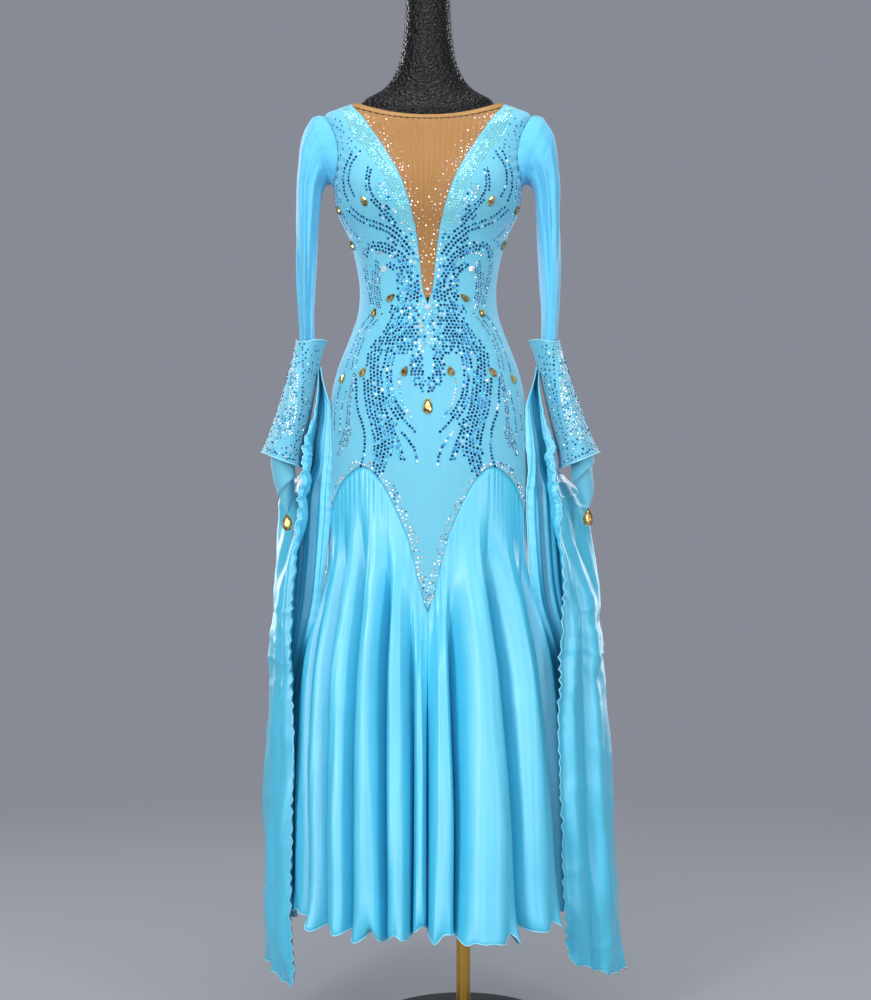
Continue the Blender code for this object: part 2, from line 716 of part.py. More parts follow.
def oval(inner, outer, y, depth, inner_z, outer_z, sign, count=TUBE_COLUMNS):
    """A ring seen edge on from the front: from (inner, inner_z) to (outer, outer_z), depth front and back."""
    points = []
    for i in range(count):
        turn = sign * 2 * math.pi * i / count
        share = (1 + math.sin(turn)) / 2
        x, z = mix(inner, outer, share), mix(inner_z, outer_z, share)
        points.append(Vector((sign * x, y - depth * math.cos(turn), z)))
    return points


def build_cuffs(collection, materials):
    for side, (sign, inner_x, outer_x, *_) in ARMS.items():
        rows = []
        for r in range(CUFF_ROWS + 1):
            share = r / CUFF_ROWS  # 0 at the lower edge
            rows.append(
                oval(
                    mix(inner_x, CUFF_TOP_INNER_X, share),
                    mix(CUFF_TOP_OUTER_X, outer_x, (1 - share) ** CUFF_FLARE),
                    CUFF_Y,
                    mix(CUFF_DEPTH, CUFF_TOP_DEPTH, share),
                    mix(CUFF_INNER_Z, CUFF_TOP_Z - CUFF_TOP_TILT, share),
                    mix(CUFF_OUTER_Z, CUFF_TOP_Z + CUFF_TOP_TILT, share),
                    sign,
                )
            )
        name = f"cuff_{side}"
        made = add_object(name, grid_mesh(name, rows, closed=True), materials["crepe"], collection)
        add_thickness(made, CUFF_CLOTH)


def build_hand_points(collection, materials):
    """The sleeve's pointed end below each cuff, a flat tube that narrows to the tip that holds the drop."""
    for side, (sign, *_) in ARMS.items():
        rows = [
            oval(x - half, x + half, HAND_POINT_Y, depth, z, z, sign, count=HAND_COLUMNS)
            for x, z, half, depth in hand_sections(side)
        ]
        name = f"hand_point_{side}"
        made = add_object(name, grid_mesh(name, rows, closed=True), materials["crepe"], collection)
        add_thickness(made, SLEEVE_MESH)


def cuff_inner_face(side, y, z):
    """How far from the centre line a cuff's inner side is, at this y and z."""
    inner_x, outer_x = ARMS[side][1:3]
    share = (CUFF_TOP_Z - z) / (CUFF_TOP_Z - CUFF_INNER_Z)
    inner, outer = mix(CUFF_TOP_INNER_X, inner_x, share), mix(CUFF_TOP_OUTER_X, outer_x, share)
    away = (y - CUFF_Y) / mix(CUFF_TOP_DEPTH, CUFF_DEPTH, share)
    return mix(inner, outer, (1 - math.sqrt(1 - away * away)) / 2)


def float_plan(row, share_across):
    """Where a float hangs, seen from above, at one height: (x, y) on the +X side."""
    _, lip, front, bend, outer, turn, inner, back = row
    plan = (
        (0.0, lip, front),
        (0.6 * FLOAT_TURN, bend, mix(front, turn, 0.40)),
        (FLOAT_TURN, outer, turn),
        (mix(FLOAT_TURN, 1.0, 0.3), mix(outer, inner, 0.30), mix(turn, back, 0.22)),
        (mix(FLOAT_TURN, 1.0, 0.65), mix(outer, inner, 0.66), mix(turn, back, 0.62)),
        (1.0, inner, back),
    )
    return table_at(plan, share_across)


def float_point(side, share_across, share_down):
    """A point of a float: share_across from its front edge to its back edge, share_down from the cuff."""
    sign, table = ARMS[side][0], FLOATS[side]
    row = table_row(table, share_down * (len(table) - 1))
    z = row[0]
    x, y = float_plan(row, share_across)
    if share_down == 0:
        behind = min(1.0, 4 * max(0.0, share_across - FLOAT_TURN) / (1 - FLOAT_TURN))
        x = cuff_inner_face(side, y, z) - 3 * SEAM_GAP - FLOAT_TOP_FOLD * math.sin(math.pi / 2 * behind)
        return Vector((sign * x, y, z))
    before = float_plan(row, max(0.0, share_across - PLAN_STEP))
    after = float_plan(row, min(1.0, share_across + PLAN_STEP))
    along = Vector((after[0] - before[0], after[1] - before[1])).normalized()
    if share_across < FLOAT_TURN:
        folds = FRONT_WAVES * share_across / FLOAT_TURN
    else:
        folds = FRONT_WAVES + BACK_WAVES * (share_across - FLOAT_TURN) / (1 - FLOAT_TURN)
    out = FLOAT_WAVE * smooth_step(4 * share_down) * math.cos(2 * math.pi * folds)
    away = min(1.0, abs(share_across - FLOAT_POINTS[side]) / FLOAT_POINT_REACH)
    z -= FLOAT_POINT_DROP * math.cos(math.pi / 2 * away) ** 1.2 * share_down**6
    return Vector((sign * (x + along.y * out), y - along.x * out, z))


def build_floats(collection, materials):
    shares = [FLOAT_TURN * c / FRONT_COLUMNS for c in range(FRONT_COLUMNS)]
    shares += [mix(FLOAT_TURN, 1.0, c / BACK_COLUMNS) for c in range(BACK_COLUMNS + 1)]
    for side, (sign, *_) in ARMS.items():
        rows = []
        for stop in reversed(FLOAT_STOPS):
            down = stop / FLOAT_STOPS[-1]
            rows.append([float_point(side, share, down) for share in shares])
        if sign < 0:
            rows = [list(reversed(row)) for row in rows]
        name = f"float_{side}"
        made = add_object(name, grid_mesh(name, rows), materials["satin"], collection)
        add_thickness(made, SATIN)


# ---------------------------------------------------------------- drop stones
def drop_mesh(name, half_width, half_length, place, outward, upward):
    """A pear-shaped stone with a flat back, a girdle and a flat table. place is the middle of its back."""
    across = upward.cross(outward).normalized()
    levels = ((0.92, 0.0), (1.0, 0.30), (0.55, 1.0))  # scale, share of the height
    rings = []
    for scale, height in levels:
        points = []
        for i in range(DROP_SIDES):
            turn = 2 * math.pi * (i + 0.5) / DROP_SIDES
            wide = half_width * math.sin(turn) * math.sin(turn / 2) ** 0.9 * 1.25
            long = half_length * math.cos(turn)
            points.append(place + (across * wide + upward * long) * scale + outward * (DROP_HEIGHT * height))
        rings.append(list(reversed(points)))
    return closed_loft(name, rings)


def build_drops(collection, materials):
    number = 0
    for x, z, lean, half_width, half_length in DROPS:
        for sign in (1, -1) if x else (1,):
            number += 1
            at = seen_at(sign * x, z)
            outward = figure_normal(*at)
            turn = Matrix.Rotation(math.radians(sign * lean), 3, outward)
            upward = turn @ (Vector((0, 0, 1)) - outward * outward.z).normalized()
            place = figure(*at) + outward * DROP_LIFT
            name = f"drop_{number:02d}"
            mesh = drop_mesh(name, half_width, half_length, place, outward, upward)
            add_object(name, mesh, materials["gold_glass"], collection)
    half_width, half_length = HANGING_DROP
    for side, (sign, _, _, tip_x, tip_z) in ARMS.items():
        place = Vector((sign * tip_x, HAND_POINT_Y - DROP_HEIGHT / 2, tip_z - half_length - 0.001))
        name = f"hanging_drop_{side}"
        mesh = drop_mesh(name, half_width, half_length, place, Vector((0, -1, 0)), Vector((0, 0, 1)))
        add_object(name, mesh, materials["gold_glass"], collection)


# ---------------------------------------------------------------- dress form and stand
FORM_COLUMNS = 28


def form_point(degrees, position):
    """The form lies inside the cloth by its clearance, up to the neckline, and shows above it."""
    share = 1 - smooth_step(position - NECKLINE_RING)
    shoulder = smooth_step((position - 11) / 2) * (1 - smooth_step(position - NECKLINE_RING + 1) / 2)
    clearance = mix(FORM_CLEARANCE, FORM_SHOULDER_CLEARANCE, shoulder) * share
    return figure(degrees, position) - figure_normal(degrees, position) * clearance


def build_form(collection, materials, cutters):
    positions = [position_at(FORM_BOTTOM_Z, 0.0)]
    positions += [float(p) for p in range(4, int(NECK_TOP_RING) + 1)]
    rows = []
    for position in positions:
        below_top = min(position, NECK_TOP_RING - 0.03)
        rows.append([form_point(360.0 * c / FORM_COLUMNS, below_top) for c in range(FORM_COLUMNS)])
    for point in rows[0]:
        point.z = FORM_BOTTOM_Z
    top_z = rows[-1][0].z
    rim, crown = (
        [Vector((p.x * scale, p.y * scale, z)) for p in row]
        for row, scale, z in (
            (rows[0], FORM_RIM_SCALE, FORM_BOTTOM_Z - FORM_RIM_HEIGHT),
            (rows[-1], FORM_CROWN_SCALE, top_z + FORM_RIM_HEIGHT),
        )
    )
    for point in rows[-1]:
        point.z = top_z
    mesh = closed_loft("form_torso", [rim, *rows, crown])
    torso = add_object("form_torso", mesh, materials["form"], collection)

    bpy.ops.mesh.primitive_cylinder_add(
        vertices=32,
        radius=POLE_RADIUS + SEAM_GAP,
        depth=2 * SOCKET_DEPTH,
        location=(POLE_X, 0, FORM_BOTTOM_Z - FORM_RIM_HEIGHT),
    )
    socket = bpy.context.active_object
    socket.name = "socket_cutter"
    move_to(socket, cutters)
    socket.hide_render = True
    socket.display_type = "WIRE"
    cut = torso.modifiers.new("socket", "BOOLEAN")
    cut.operation = "DIFFERENCE"
    cut.object = socket


def move_to(made, collection):
    for old in list(made.users_collection):
        old.objects.unlink(made)
    collection.objects.link(made)


def build_stand(collection, materials):
    pole_top = FORM_BOTTOM_Z - FORM_RIM_HEIGHT + SOCKET_DEPTH - SEAM_GAP
    pole_bottom = BASE_THICKNESS + SEAM_GAP
    bpy.ops.mesh.primitive_cylinder_add(
        vertices=32,
        radius=POLE_RADIUS,
        depth=pole_top - pole_bottom,
        location=(POLE_X, 0, (pole_top + pole_bottom) / 2),
    )
    pole = bpy.context.active_object
    pole.name = "stand_pole"
    bpy.ops.mesh.primitive_cylinder_add(
        vertices=48,
        radius=BASE_RADIUS,
        depth=BASE_THICKNESS,
        location=(POLE_X, 0, BASE_THICKNESS / 2),
    )
    base = bpy.context.active_object
    base.name = "stand_base"
    bevel = base.modifiers.new("rounded edge", "BEVEL")
    bevel.width = 0.003
    bevel.segments = 2
    for made, material in ((pole, "brass"), (base, "base_black")):
        made.data.materials.append(materials[material])
        made.data.shade_smooth()
        made.data.set_sharp_from_angle(angle=math.radians(30))
        move_to(made, collection)


def main():
    for old in list(bpy.data.objects):
        bpy.data.objects.remove(old)
    collection = bpy.data.collections.new("ballroom_dress_on_form")
    cutters = bpy.data.collections.new("cutters")
    for made in (collection, cutters):
        bpy.context.scene.collection.children.link(made)
    materials = {
        "crepe": make_material("crepe", (0.13, 0.60, 0.88), 0.55),
        "satin": make_material("satin", (0.16, 0.62, 0.88), 0.30),
        "sleeve_mesh": make_material("sleeve_mesh", (0.13, 0.58, 0.88), 0.60),
        "nude": make_material("nude", (0.52, 0.28, 0.09), 0.60),
        "gold_glass": make_material("gold_glass", (0.62, 0.42, 0.12), 0.08),
        "form": make_material("form", (0.012, 0.012, 0.014), 0.35),
        "brass": make_material("brass", (0.55, 0.36, 0.09), 0.22, 1.0),
        "base_black": make_material("base_black", (0.015, 0.015, 0.016), 0.35),
    }
    build_form(collection, materials, cutters)
    build_stand(collection, materials)
    build_bodice(collection, materials)
    build_inset(collection, materials)
    build_skirt(collection, materials)
    build_sleeves(collection, materials)
    build_cuffs(collection, materials)
    build_hand_points(collection, materials)
    build_floats(collection, materials)
    build_drops(collection, materials)


main()
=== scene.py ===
"""Looks of the ballroom dance dress on its dress form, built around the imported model.

Metres, +Z up, the front faces -Y, x = 0 is the garment's centre line. Left and right are as seen from the
front. The tables of the figure, the skirt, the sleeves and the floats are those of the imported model, apart
from small shifts at the sleeve caps, the cuffs' outer edges and the floats' front and back edges. The cloth
here follows them on a finer grid, with its smaller folds, gathers and edges.
"""

import math
import random
from functools import lru_cache

import bmesh
import bpy
from mathutils import Matrix, Vector, noise
from mathutils.bvhtree import BVHTree


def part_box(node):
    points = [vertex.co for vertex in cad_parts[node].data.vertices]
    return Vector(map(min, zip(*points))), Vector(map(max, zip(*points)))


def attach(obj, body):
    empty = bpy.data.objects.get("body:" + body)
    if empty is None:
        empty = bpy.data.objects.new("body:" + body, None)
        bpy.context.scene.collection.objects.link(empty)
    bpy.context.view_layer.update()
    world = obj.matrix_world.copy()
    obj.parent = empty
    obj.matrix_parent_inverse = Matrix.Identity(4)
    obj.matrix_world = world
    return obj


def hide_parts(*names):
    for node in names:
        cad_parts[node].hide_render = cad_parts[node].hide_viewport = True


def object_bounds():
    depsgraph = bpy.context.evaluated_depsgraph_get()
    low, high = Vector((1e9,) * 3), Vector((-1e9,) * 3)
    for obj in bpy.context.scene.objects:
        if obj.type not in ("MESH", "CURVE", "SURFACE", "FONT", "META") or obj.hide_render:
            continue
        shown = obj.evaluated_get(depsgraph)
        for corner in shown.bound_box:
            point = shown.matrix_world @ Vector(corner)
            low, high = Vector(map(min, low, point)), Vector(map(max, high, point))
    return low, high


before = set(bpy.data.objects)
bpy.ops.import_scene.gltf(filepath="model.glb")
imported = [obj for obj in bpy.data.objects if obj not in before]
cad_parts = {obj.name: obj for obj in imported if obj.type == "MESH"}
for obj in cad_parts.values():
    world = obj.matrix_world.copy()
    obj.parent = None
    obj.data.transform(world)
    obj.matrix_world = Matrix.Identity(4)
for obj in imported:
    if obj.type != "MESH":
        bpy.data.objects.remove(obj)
cad_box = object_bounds()

# ---------------------------------------------------------------- driving sizes
SEAM_GAP = 0.0004
CREPE = 0.0012
SATIN = 0.0006
FINE_MESH = 0.0008
CUFF_CLOTH = 0.0020

WAIST_Z = 1.180
ARMPIT_Z = 1.385
SHOULDER_TIP_Z = 1.498
HEM_Z = 0.218
BINDING_HEIGHT = 0.007
RING_PITCH = 0.0125  # between two rings of the figure at the neckline

FORM_CLEARANCE = 0.0050
FORM_SHOULDER_CLEARANCE = 0.0110

BUST_X, BUST_Z = 0.072, 1.352
BUST_REACH_X, BUST_REACH_Z, BUST_HEIGHT = 0.042, 0.048, 0.016

# side_z, half_width, front_z, front, back_z, back, square
RINGS = (
    (0.620, 0.166, 0.620, 0.106, 0.620, 0.118, 1.00),
    (0.700, 0.167, 0.700, 0.108, 0.700, 0.122, 1.00),
    (0.780, 0.168, 0.780, 0.109, 0.780, 0.126, 1.00),
    (0.865, 0.169, 0.865, 0.110, 0.865, 0.129, 0.98),
    (0.950, 0.168, 0.950, 0.110, 0.950, 0.130, 0.96),
    (1.020, 0.162, 1.020, 0.107, 1.020, 0.124, 0.95),
    (1.080, 0.149, 1.080, 0.101, 1.080, 0.108, 0.95),
    (1.130, 0.130, 1.130, 0.094, 1.130, 0.092, 0.97),
    (1.172, 0.1155, 1.172, 0.088, 1.172, 0.082, 1.00),
    (1.215, 0.112, 1.215, 0.086, 1.215, 0.079, 1.00),
    (1.260, 0.1185, 1.260, 0.090, 1.260, 0.083, 0.97),
    (1.300, 0.130, 1.300, 0.098, 1.300, 0.090, 0.93),
    (1.340, 0.148, 1.335, 0.107, 1.340, 0.098, 0.90),
    (ARMPIT_Z, 0.154, 1.375, 0.106, 1.385, 0.103, 0.86),
    (1.425, 0.157, 1.410, 0.092, 1.420, 0.104, 0.82),
    (1.465, 0.163, 1.440, 0.077, 1.450, 0.100, 0.80),
    (SHOULDER_TIP_Z, 0.169, 1.463, 0.067, 1.475, 0.094, 0.80),
    (1.511, 0.146, 1.478, 0.059, 1.490, 0.086, 0.85),
    (1.520, 0.122, 1.491, 0.052, 1.503, 0.078, 0.90),
    (1.530, 0.098, 1.506, 0.046, 1.517, 0.070, 0.95),
    (1.548, 0.069, 1.530, 0.041, 1.538, 0.060, 1.00),
    (1.580, 0.050, 1.570, 0.038, 1.574, 0.050, 1.00),
    (1.625, 0.041, 1.622, 0.0365, 1.622, 0.043, 1.00),
    (1.665, 0.038, 1.665, 0.036, 1.665, 0.040, 1.00),
    (1.705, 0.0365, 1.705, 0.0355, 1.705, 0.0385, 1.00),
)
NECKLINE_RING, NECK_TOP_RING = 18.0, 24.0

V_EDGE = (  # z, half_width
    (WAIST_Z, 0.0),
    (1.205, 0.0075),
    (1.250, 0.0120),
    (1.300, 0.0185),
    (1.345, 0.0300),
    (1.390, 0.0470),
    (1.430, 0.0680),
    (1.465, 0.0910),
    (1.520, 0.1220),
)
POINTED_SEAM = (  # degrees from the centre front or back, z
    (0.0, 0.694),
    (11.0, 0.812),
    (24.0, 0.893),
    (36.0, 0.922),
    (48.0, 0.910),
    (60.0, 0.880),
    (75.0, 0.812),
    (90.0, 0.694),
)
FLARE = (  # z, left, right, front, back
    (0.930, 0.168, 0.168, 0.110, 0.130),
    (0.800, 0.171, 0.171, 0.117, 0.136),
    (0.690, 0.188, 0.190, 0.130, 0.148),
    (0.620, 0.201, 0.203, 0.144, 0.161),
    (0.550, 0.205, 0.208, 0.160, 0.175),
    (0.400, 0.206, 0.211, 0.190, 0.205),
    (0.280, 0.202, 0.208, 0.212, 0.228),
    (0.200, 0.199, 0.208, 0.222, 0.240),
)
FOLD_DEPTH = 0.045
VALLEY_DEPTH = 0.022

# The skirt's folds. top and hem are where the valley before a crest starts and ends, in degrees; crest is
# how far it stands out, drop how much lower its hem hangs, and late how far down the godet it opens.
FOLDS = {
    "skirt_front_left": (
        (-90, -90, 0.75, 0.000, 0.10),
        (-79, -76, 0.80, -0.006, 0.00),
        (-67, -57, 0.95, 0.000, 0.05),
        (-53, -45, 1.00, 0.004, 0.06),
        (-39, -32, 1.05, 0.006, 0.00),
        (-23, -18, 0.95, 0.000, 0.02),
        (-9, -6, 0.55, -0.006, 0.15),
    ),
    "skirt_front_right": (
        (0, 0, 0.80, 0.004, 0.05),
        (12, 12, 1.25, 0.008, 0.00),
        (35, 38, 1.15, 0.004, 0.03),
        (63, 64, 0.85, -0.006, 0.08),
        (77, 78, 0.80, 0.000, 0.05),
    ),
    "skirt_back_right": (
        (90, 90, 0.80, 0.000, 0.10),
        (103, 104, 1.00, 0.004, 0.00),
        (119, 121, 0.85, -0.004, 0.08),
        (132, 135, 1.10, 0.004, 0.00),
        (148, 150, 0.85, 0.000, 0.10),
        (163, 166, 1.00, 0.005, 0.03),
    ),
    "skirt_back_left": (
        (180, 180, 1.00, 0.004, 0.00),
        (195, 196, 0.85, -0.003, 0.08),
        (209, 210, 1.10, 0.004, 0.00),
        (225, 226, 0.90, 0.000, 0.10),
        (241, 240, 1.00, 0.004, 0.00),
        (256, 255, 0.80, -0.004, 0.06),
    ),
}
FOLD_ENDS = {"skirt_front_left": 0, "skirt_front_right": 90, "skirt_back_right": 180, "skirt_back_left": 270}

SLEEVE = (  # inner_x, inner_z, outer_x, outer_z, y, depth
    (0.1580, 1.3860, 0.1895, 1.4985, -0.001, 0.0500),
    (0.1620, 1.3865, 0.2060, 1.4700, -0.002, 0.0500),
    (0.1665, 1.3840, 0.2125, 1.4320, -0.003, 0.0490),
    (0.1720, 1.3720, 0.2165, 1.3880, -0.004, 0.0470),
    (0.1755, 1.3400, 0.2170, 1.3420, -0.007, 0.0450),
    (0.1780, 1.2900, 0.2170, 1.2900, -0.010, 0.0420),
    (0.1805, 1.2400, 0.2160, 1.2400, -0.012, 0.0395),
    (0.1835, 1.1850, 0.2130, 1.1850, -0.015, 0.0370),
    (0.1845, 1.1150, 0.2100, 1.1150, -0.018, 0.0340),
    (0.1955, 1.0500, 0.2240, 1.0500, -0.024, 0.0310),
)
ARMS = {  # sign, cuff_inner_x, cuff_outer_x, tip_x, tip_z
    "left": (-1, 0.205, 0.267, 0.228, 0.850),
    "right": (1, 0.217, 0.276, 0.260, 0.858),
}
FLOAT_POINTS = {"left": 0.16, "right": 0.38}
CUFF_TOP_Z, CUFF_TOP_INNER_X, CUFF_TOP_OUTER_X = 1.128, 0.171, 0.2145
CUFF_INNER_Z, CUFF_OUTER_Z = 0.922, 0.948
CUFF_TOP_DEPTH, CUFF_DEPTH = 0.045, 0.056
CUFF_Y = -0.020
HAND_POINT_TOP_Z = 0.985
HAND_POINT_Y = -0.030

FLOAT_TOP_Z = 1.085
FLOATS = {  # z, lip, front, bend, outer, turn, inner, back
    "left": (
        (FLOAT_TOP_Z, 0.1730, -0.036, 0.1730, 0.1740, 0.000, 0.1690, -0.036),
        (1.020, 0.1800, -0.046, 0.1810, 0.1820, 0.000, 0.1600, -0.036),
        (0.965, 0.1890, -0.054, 0.1900, 0.1920, 0.012, 0.1600, -0.044),
        (0.925, 0.1960, -0.060, 0.1970, 0.1990, 0.026, 0.1610, -0.046),
        (0.885, 0.2010, -0.064, 0.2030, 0.2370, 0.034, 0.1615, -0.047),
        (0.840, 0.2060, -0.067, 0.2080, 0.2440, 0.036, 0.1625, -0.048),
        (0.720, 0.2150, -0.074, 0.2420, 0.2510, 0.038, 0.1740, -0.047),
        (0.640, 0.2140, -0.078, 0.2490, 0.2550, 0.042, 0.1910, -0.040),
        (0.560, 0.2110, -0.083, 0.2510, 0.2590, 0.048, 0.2110, 0.026),
        (0.400, 0.2090, -0.094, 0.2560, 0.2650, 0.052, 0.2230, 0.046),
        (0.250, 0.2110, -0.098, 0.2600, 0.2690, 0.054, 0.2270, 0.052),
        (0.170, 0.2080, -0.082, 0.2460, 0.2670, 0.050, 0.2200, 0.050),
    ),
    "right": (
        (FLOAT_TOP_Z, 0.1730, -0.036, 0.1730, 0.1740, 0.000, 0.1690, -0.036),
        (1.020, 0.1840, -0.046, 0.1850, 0.1860, 0.000, 0.1610, -0.036),
        (0.965, 0.1940, -0.054, 0.1960, 0.1990, 0.012, 0.1640, -0.044),
        (0.925, 0.1990, -0.060, 0.2030, 0.2070, 0.026, 0.1660, -0.046),
        (0.885, 0.2020, -0.064, 0.2090, 0.2490, 0.034, 0.1620, -0.047),
        (0.840, 0.2050, -0.067, 0.2150, 0.2640, 0.036, 0.1625, -0.048),
        (0.720, 0.2100, -0.074, 0.2560, 0.2790, 0.040, 0.1700, -0.047),
        (0.640, 0.2070, -0.080, 0.2660, 0.2850, 0.044, 0.1930, -0.040),
        (0.560, 0.2050, -0.086, 0.2740, 0.2900, 0.050, 0.2130, 0.026),
        (0.400, 0.2080, -0.098, 0.2840, 0.3010, 0.054, 0.2290, 0.048),
        (0.250, 0.2120, -0.102, 0.2940, 0.3110, 0.056, 0.2360, 0.054),
        (0.170, 0.2190, -0.082, 0.2960, 0.3240, 0.052, 0.2300, 0.052),
    ),
}
FLOAT_TURN = 0.42  # the share of a float's width where it turns back in
FRONT_WAVES, BACK_WAVES = 1, 4
FLOAT_WAVE = 0.0045
FLOAT_TOP_FOLD = 0.0052
FLOAT_POINT_DROP = 0.078
FLOAT_POINT_REACH = 0.50

DROPS = (  # x, z, lean_degrees, half_width, half_length
    (0.0000, 1.0190, 0, 0.0080, 0.0135),
    (0.0360, 1.0740, 20, 0.0055, 0.0090),
    (0.0585, 1.1930, 50, 0.0055, 0.0090),
    (0.0855, 1.1700, 20, 0.0050, 0.0080),
    (0.1030, 1.0740, 35, 0.0055, 0.0090),
    (0.1365, 1.0650, 35, 0.0055, 0.0090),
    (0.1005, 1.3440, -28, 0.0060, 0.0095),
    (0.1430, 1.3400, -15, 0.0055, 0.0090),
    (0.1220, 1.2850, -12, 0.0055, 0.0090),
)
HANGING_DROP = (0.0085, 0.0145)
DROP_HEIGHT = 0.0045


# ---------------------------------------------------------------- tables and small maths
def mix(a, b, t):
    return a + (b - a) * t


def smooth_step(t):
    t = min(1.0, max(0.0, t))
    return t * t * (3 - 2 * t)


def cubic(a, b, c, d, t):
    return 0.5 * (2 * b + (c - a) * t + (2 * a - 5 * b + 4 * c - d) * t**2 + (3 * b - a - 3 * c + d) * t**3)


def table_row(table, position):
    """A row between the table's rows, on smooth curves through them. position counts rows from 0."""
    last = len(table) - 1
    i = min(max(int(position), 0), last - 1)
    rows = [table[min(max(k, 0), last)] for k in (i - 1, i, i + 1, i + 2)]
    return [cubic(*values, position - i) for values in zip(*rows)]


def table_at(table, value):
    """The table's other columns where its first column, which rises or falls steadily, has this value."""
    keys = [row[0] for row in table]
    rising = keys[-1] > keys[0]
    i = 0
    while i < len(keys) - 2 and (value > keys[i + 1]) == rising:
        i += 1
    share = (value - keys[i]) / (keys[i + 1] - keys[i])
    return table_row(table, i + share)[1:]


def soft_noise(x, y, z=0.0):
    return noise.noise(Vector((x, y, z)))


# ---------------------------------------------------------------- the figure
def signed_power(value, power):
    return math.copysign(abs(value) ** power, value)


@lru_cache(maxsize=None)
def ring(position):
    return tuple(table_row(RINGS, position))


def figure(degrees, position):
    """A point of the cloth's outer face: degrees round from the front centre, position up the rings."""
    side_z, half_width, front_z, front, back_z, back, square = ring(position)
    s, c = math.sin(math.radians(degrees)), math.cos(math.radians(degrees))
    middle_z, depth = (front_z, front) if c > 0 else (back_z, back)
    x = half_width * signed_power(s, square)
    z = side_z + (middle_z - side_z) * c * c
    y = -depth * signed_power(c, square)
    if c > 0:
        away_x, away_z = (abs(x) - BUST_X) / BUST_REACH_X, (z - BUST_Z) / BUST_REACH_Z
        y -= BUST_HEIGHT * c**0.5 * math.exp(-(away_x**2) - away_z**2)
    return Vector((x, y, z))


def figure_normal(degrees, position):
    step = 0.02
    round_it = figure(degrees + 1.0, position) - figure(degrees - 1.0, position)
    up = figure(degrees, position + step) - figure(degrees, position - step)
    return round_it.cross(up).normalized()


@lru_cache(maxsize=None)
def position_at(z, degrees):
    """Where up the rings the figure has this height, at these degrees."""
    low, high = 0.0, NECK_TOP_RING
    c2 = math.cos(math.radians(degrees)) ** 2
    front = abs((degrees + 180) % 360 - 180) < 90
    for _ in range(26):
        middle = (low + high) / 2
        row = ring(round(middle, 7))
        if row[0] + ((row[2] if front else row[4]) - row[0]) * c2 < z:
            low = middle
        else:
            high = middle
    return (low + high) / 2


def degrees_at(x, row):
    share = min(1.0, abs(x) / row[1])
    return math.copysign(math.degrees(math.asin(share ** (1 / row[6]))), x)


def seen_at(x, z):
    """(degrees, position) of the front point that is seen at x and z from the front."""
    low, high = 0.0, NECKLINE_RING
    for _ in range(26):
        middle = (low + high) / 2
        row = ring(round(middle, 7))
        height = row[0] + (row[2] - row[0]) * math.cos(math.radians(degrees_at(x, row))) ** 2
        if height < z:
            low = middle
        else:
            high = middle
    return degrees_at(x, ring(round((low + high) / 2, 7))), (low + high) / 2


# ---------------------------------------------------------------- building meshes
def new_object(name, mesh, *materials):
    made = bpy.data.objects.new(name, mesh)
    bpy.context.scene.collection.objects.link(made)
    for material in materials:
        mesh.materials.append(material)
    return made


def grid_mesh(name, rows, closed=False, size=(1.0, 1.0)):
    """A sheet of quads through rows of points, with a UV map in metres over the flat size."""
    across, count = len(rows[0]), len(rows)
    points = [tuple(point) for row in rows for point in row]
    faces, corners = [], []
    width, length = size
    steps = across if closed else across - 1
    for r in range(count - 1):
        for c in range(steps):
            right = (c + 1) % across
            low, high = r * across, (r + 1) * across
            faces.append((low + c, low + right, high + right, high + c))
            u0, u1 = width * c / steps, width * (c + 1) / steps
            v0, v1 = length * r / (count - 1), length * (r + 1) / (count - 1)
            corners += [u0, v0, u1, v0, u1, v1, u0, v1]
    mesh = bpy.data.meshes.new(name)
    mesh.from_pydata(points, [], faces)
    layer = mesh.uv_layers.new(name="cut")
    layer.data.foreach_set("uv", corners)
    mesh.shade_smooth()
    return mesh


def tube_mesh(name, path, radius, sides=6, closed=False):
    """A thin round edge that follows a path of points."""
    rows = []
    count = len(path)
    side = None
    turns = [2 * math.pi * k / sides for k in range(sides)]
    for i, point in enumerate(path):
        before = path[(i - 1) % count] if closed else path[max(i - 1, 0)]
        after = path[(i + 1) % count] if closed else path[min(i + 1, count - 1)]
        along = (after - before).normalized()
        if side is None:
            side = along.orthogonal().normalized()
        side = (side - along * side.dot(along)).normalized()
        other = along.cross(side)
        rows.append([point + (side * math.cos(turn) + other * math.sin(turn)) * radius for turn in turns])
    if closed:
        rows.append(rows[0])
    length = sum((b - a).length for a, b in zip(path, path[1:]))
    return grid_mesh(name, rows, closed=True, size=(2 * math.pi * radius, length))


def facing_out(rows, sign):
    """The rows of a piece on the +X side, or turned round where the piece is mirrored to the -X side."""
    return rows if sign > 0 else [list(reversed(row)) for row in rows]


def doubled(half):
    """A whole row from its +X half, whose first point is on the centre line."""
    return [Vector((-p.x, p.y, p.z)) for p in reversed(half[1:])] + half


def tree_of(*meshes):
    """A tree for finding the point of these meshes that a ray meets."""
    points, faces = [], []
    for mesh in meshes:
        first = len(points)
        points += [v.co.copy() for v in mesh.vertices]
        faces += [[first + i for i in p.vertices] for p in mesh.polygons]
    return BVHTree.FromPolygons(points, faces)


def settle(made, *nodes, slot=None):
    """The piece rides on the body and stands for these nodes; slot is not used."""
    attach(made, "root")
    if nodes:
        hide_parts(*nodes)
    return made


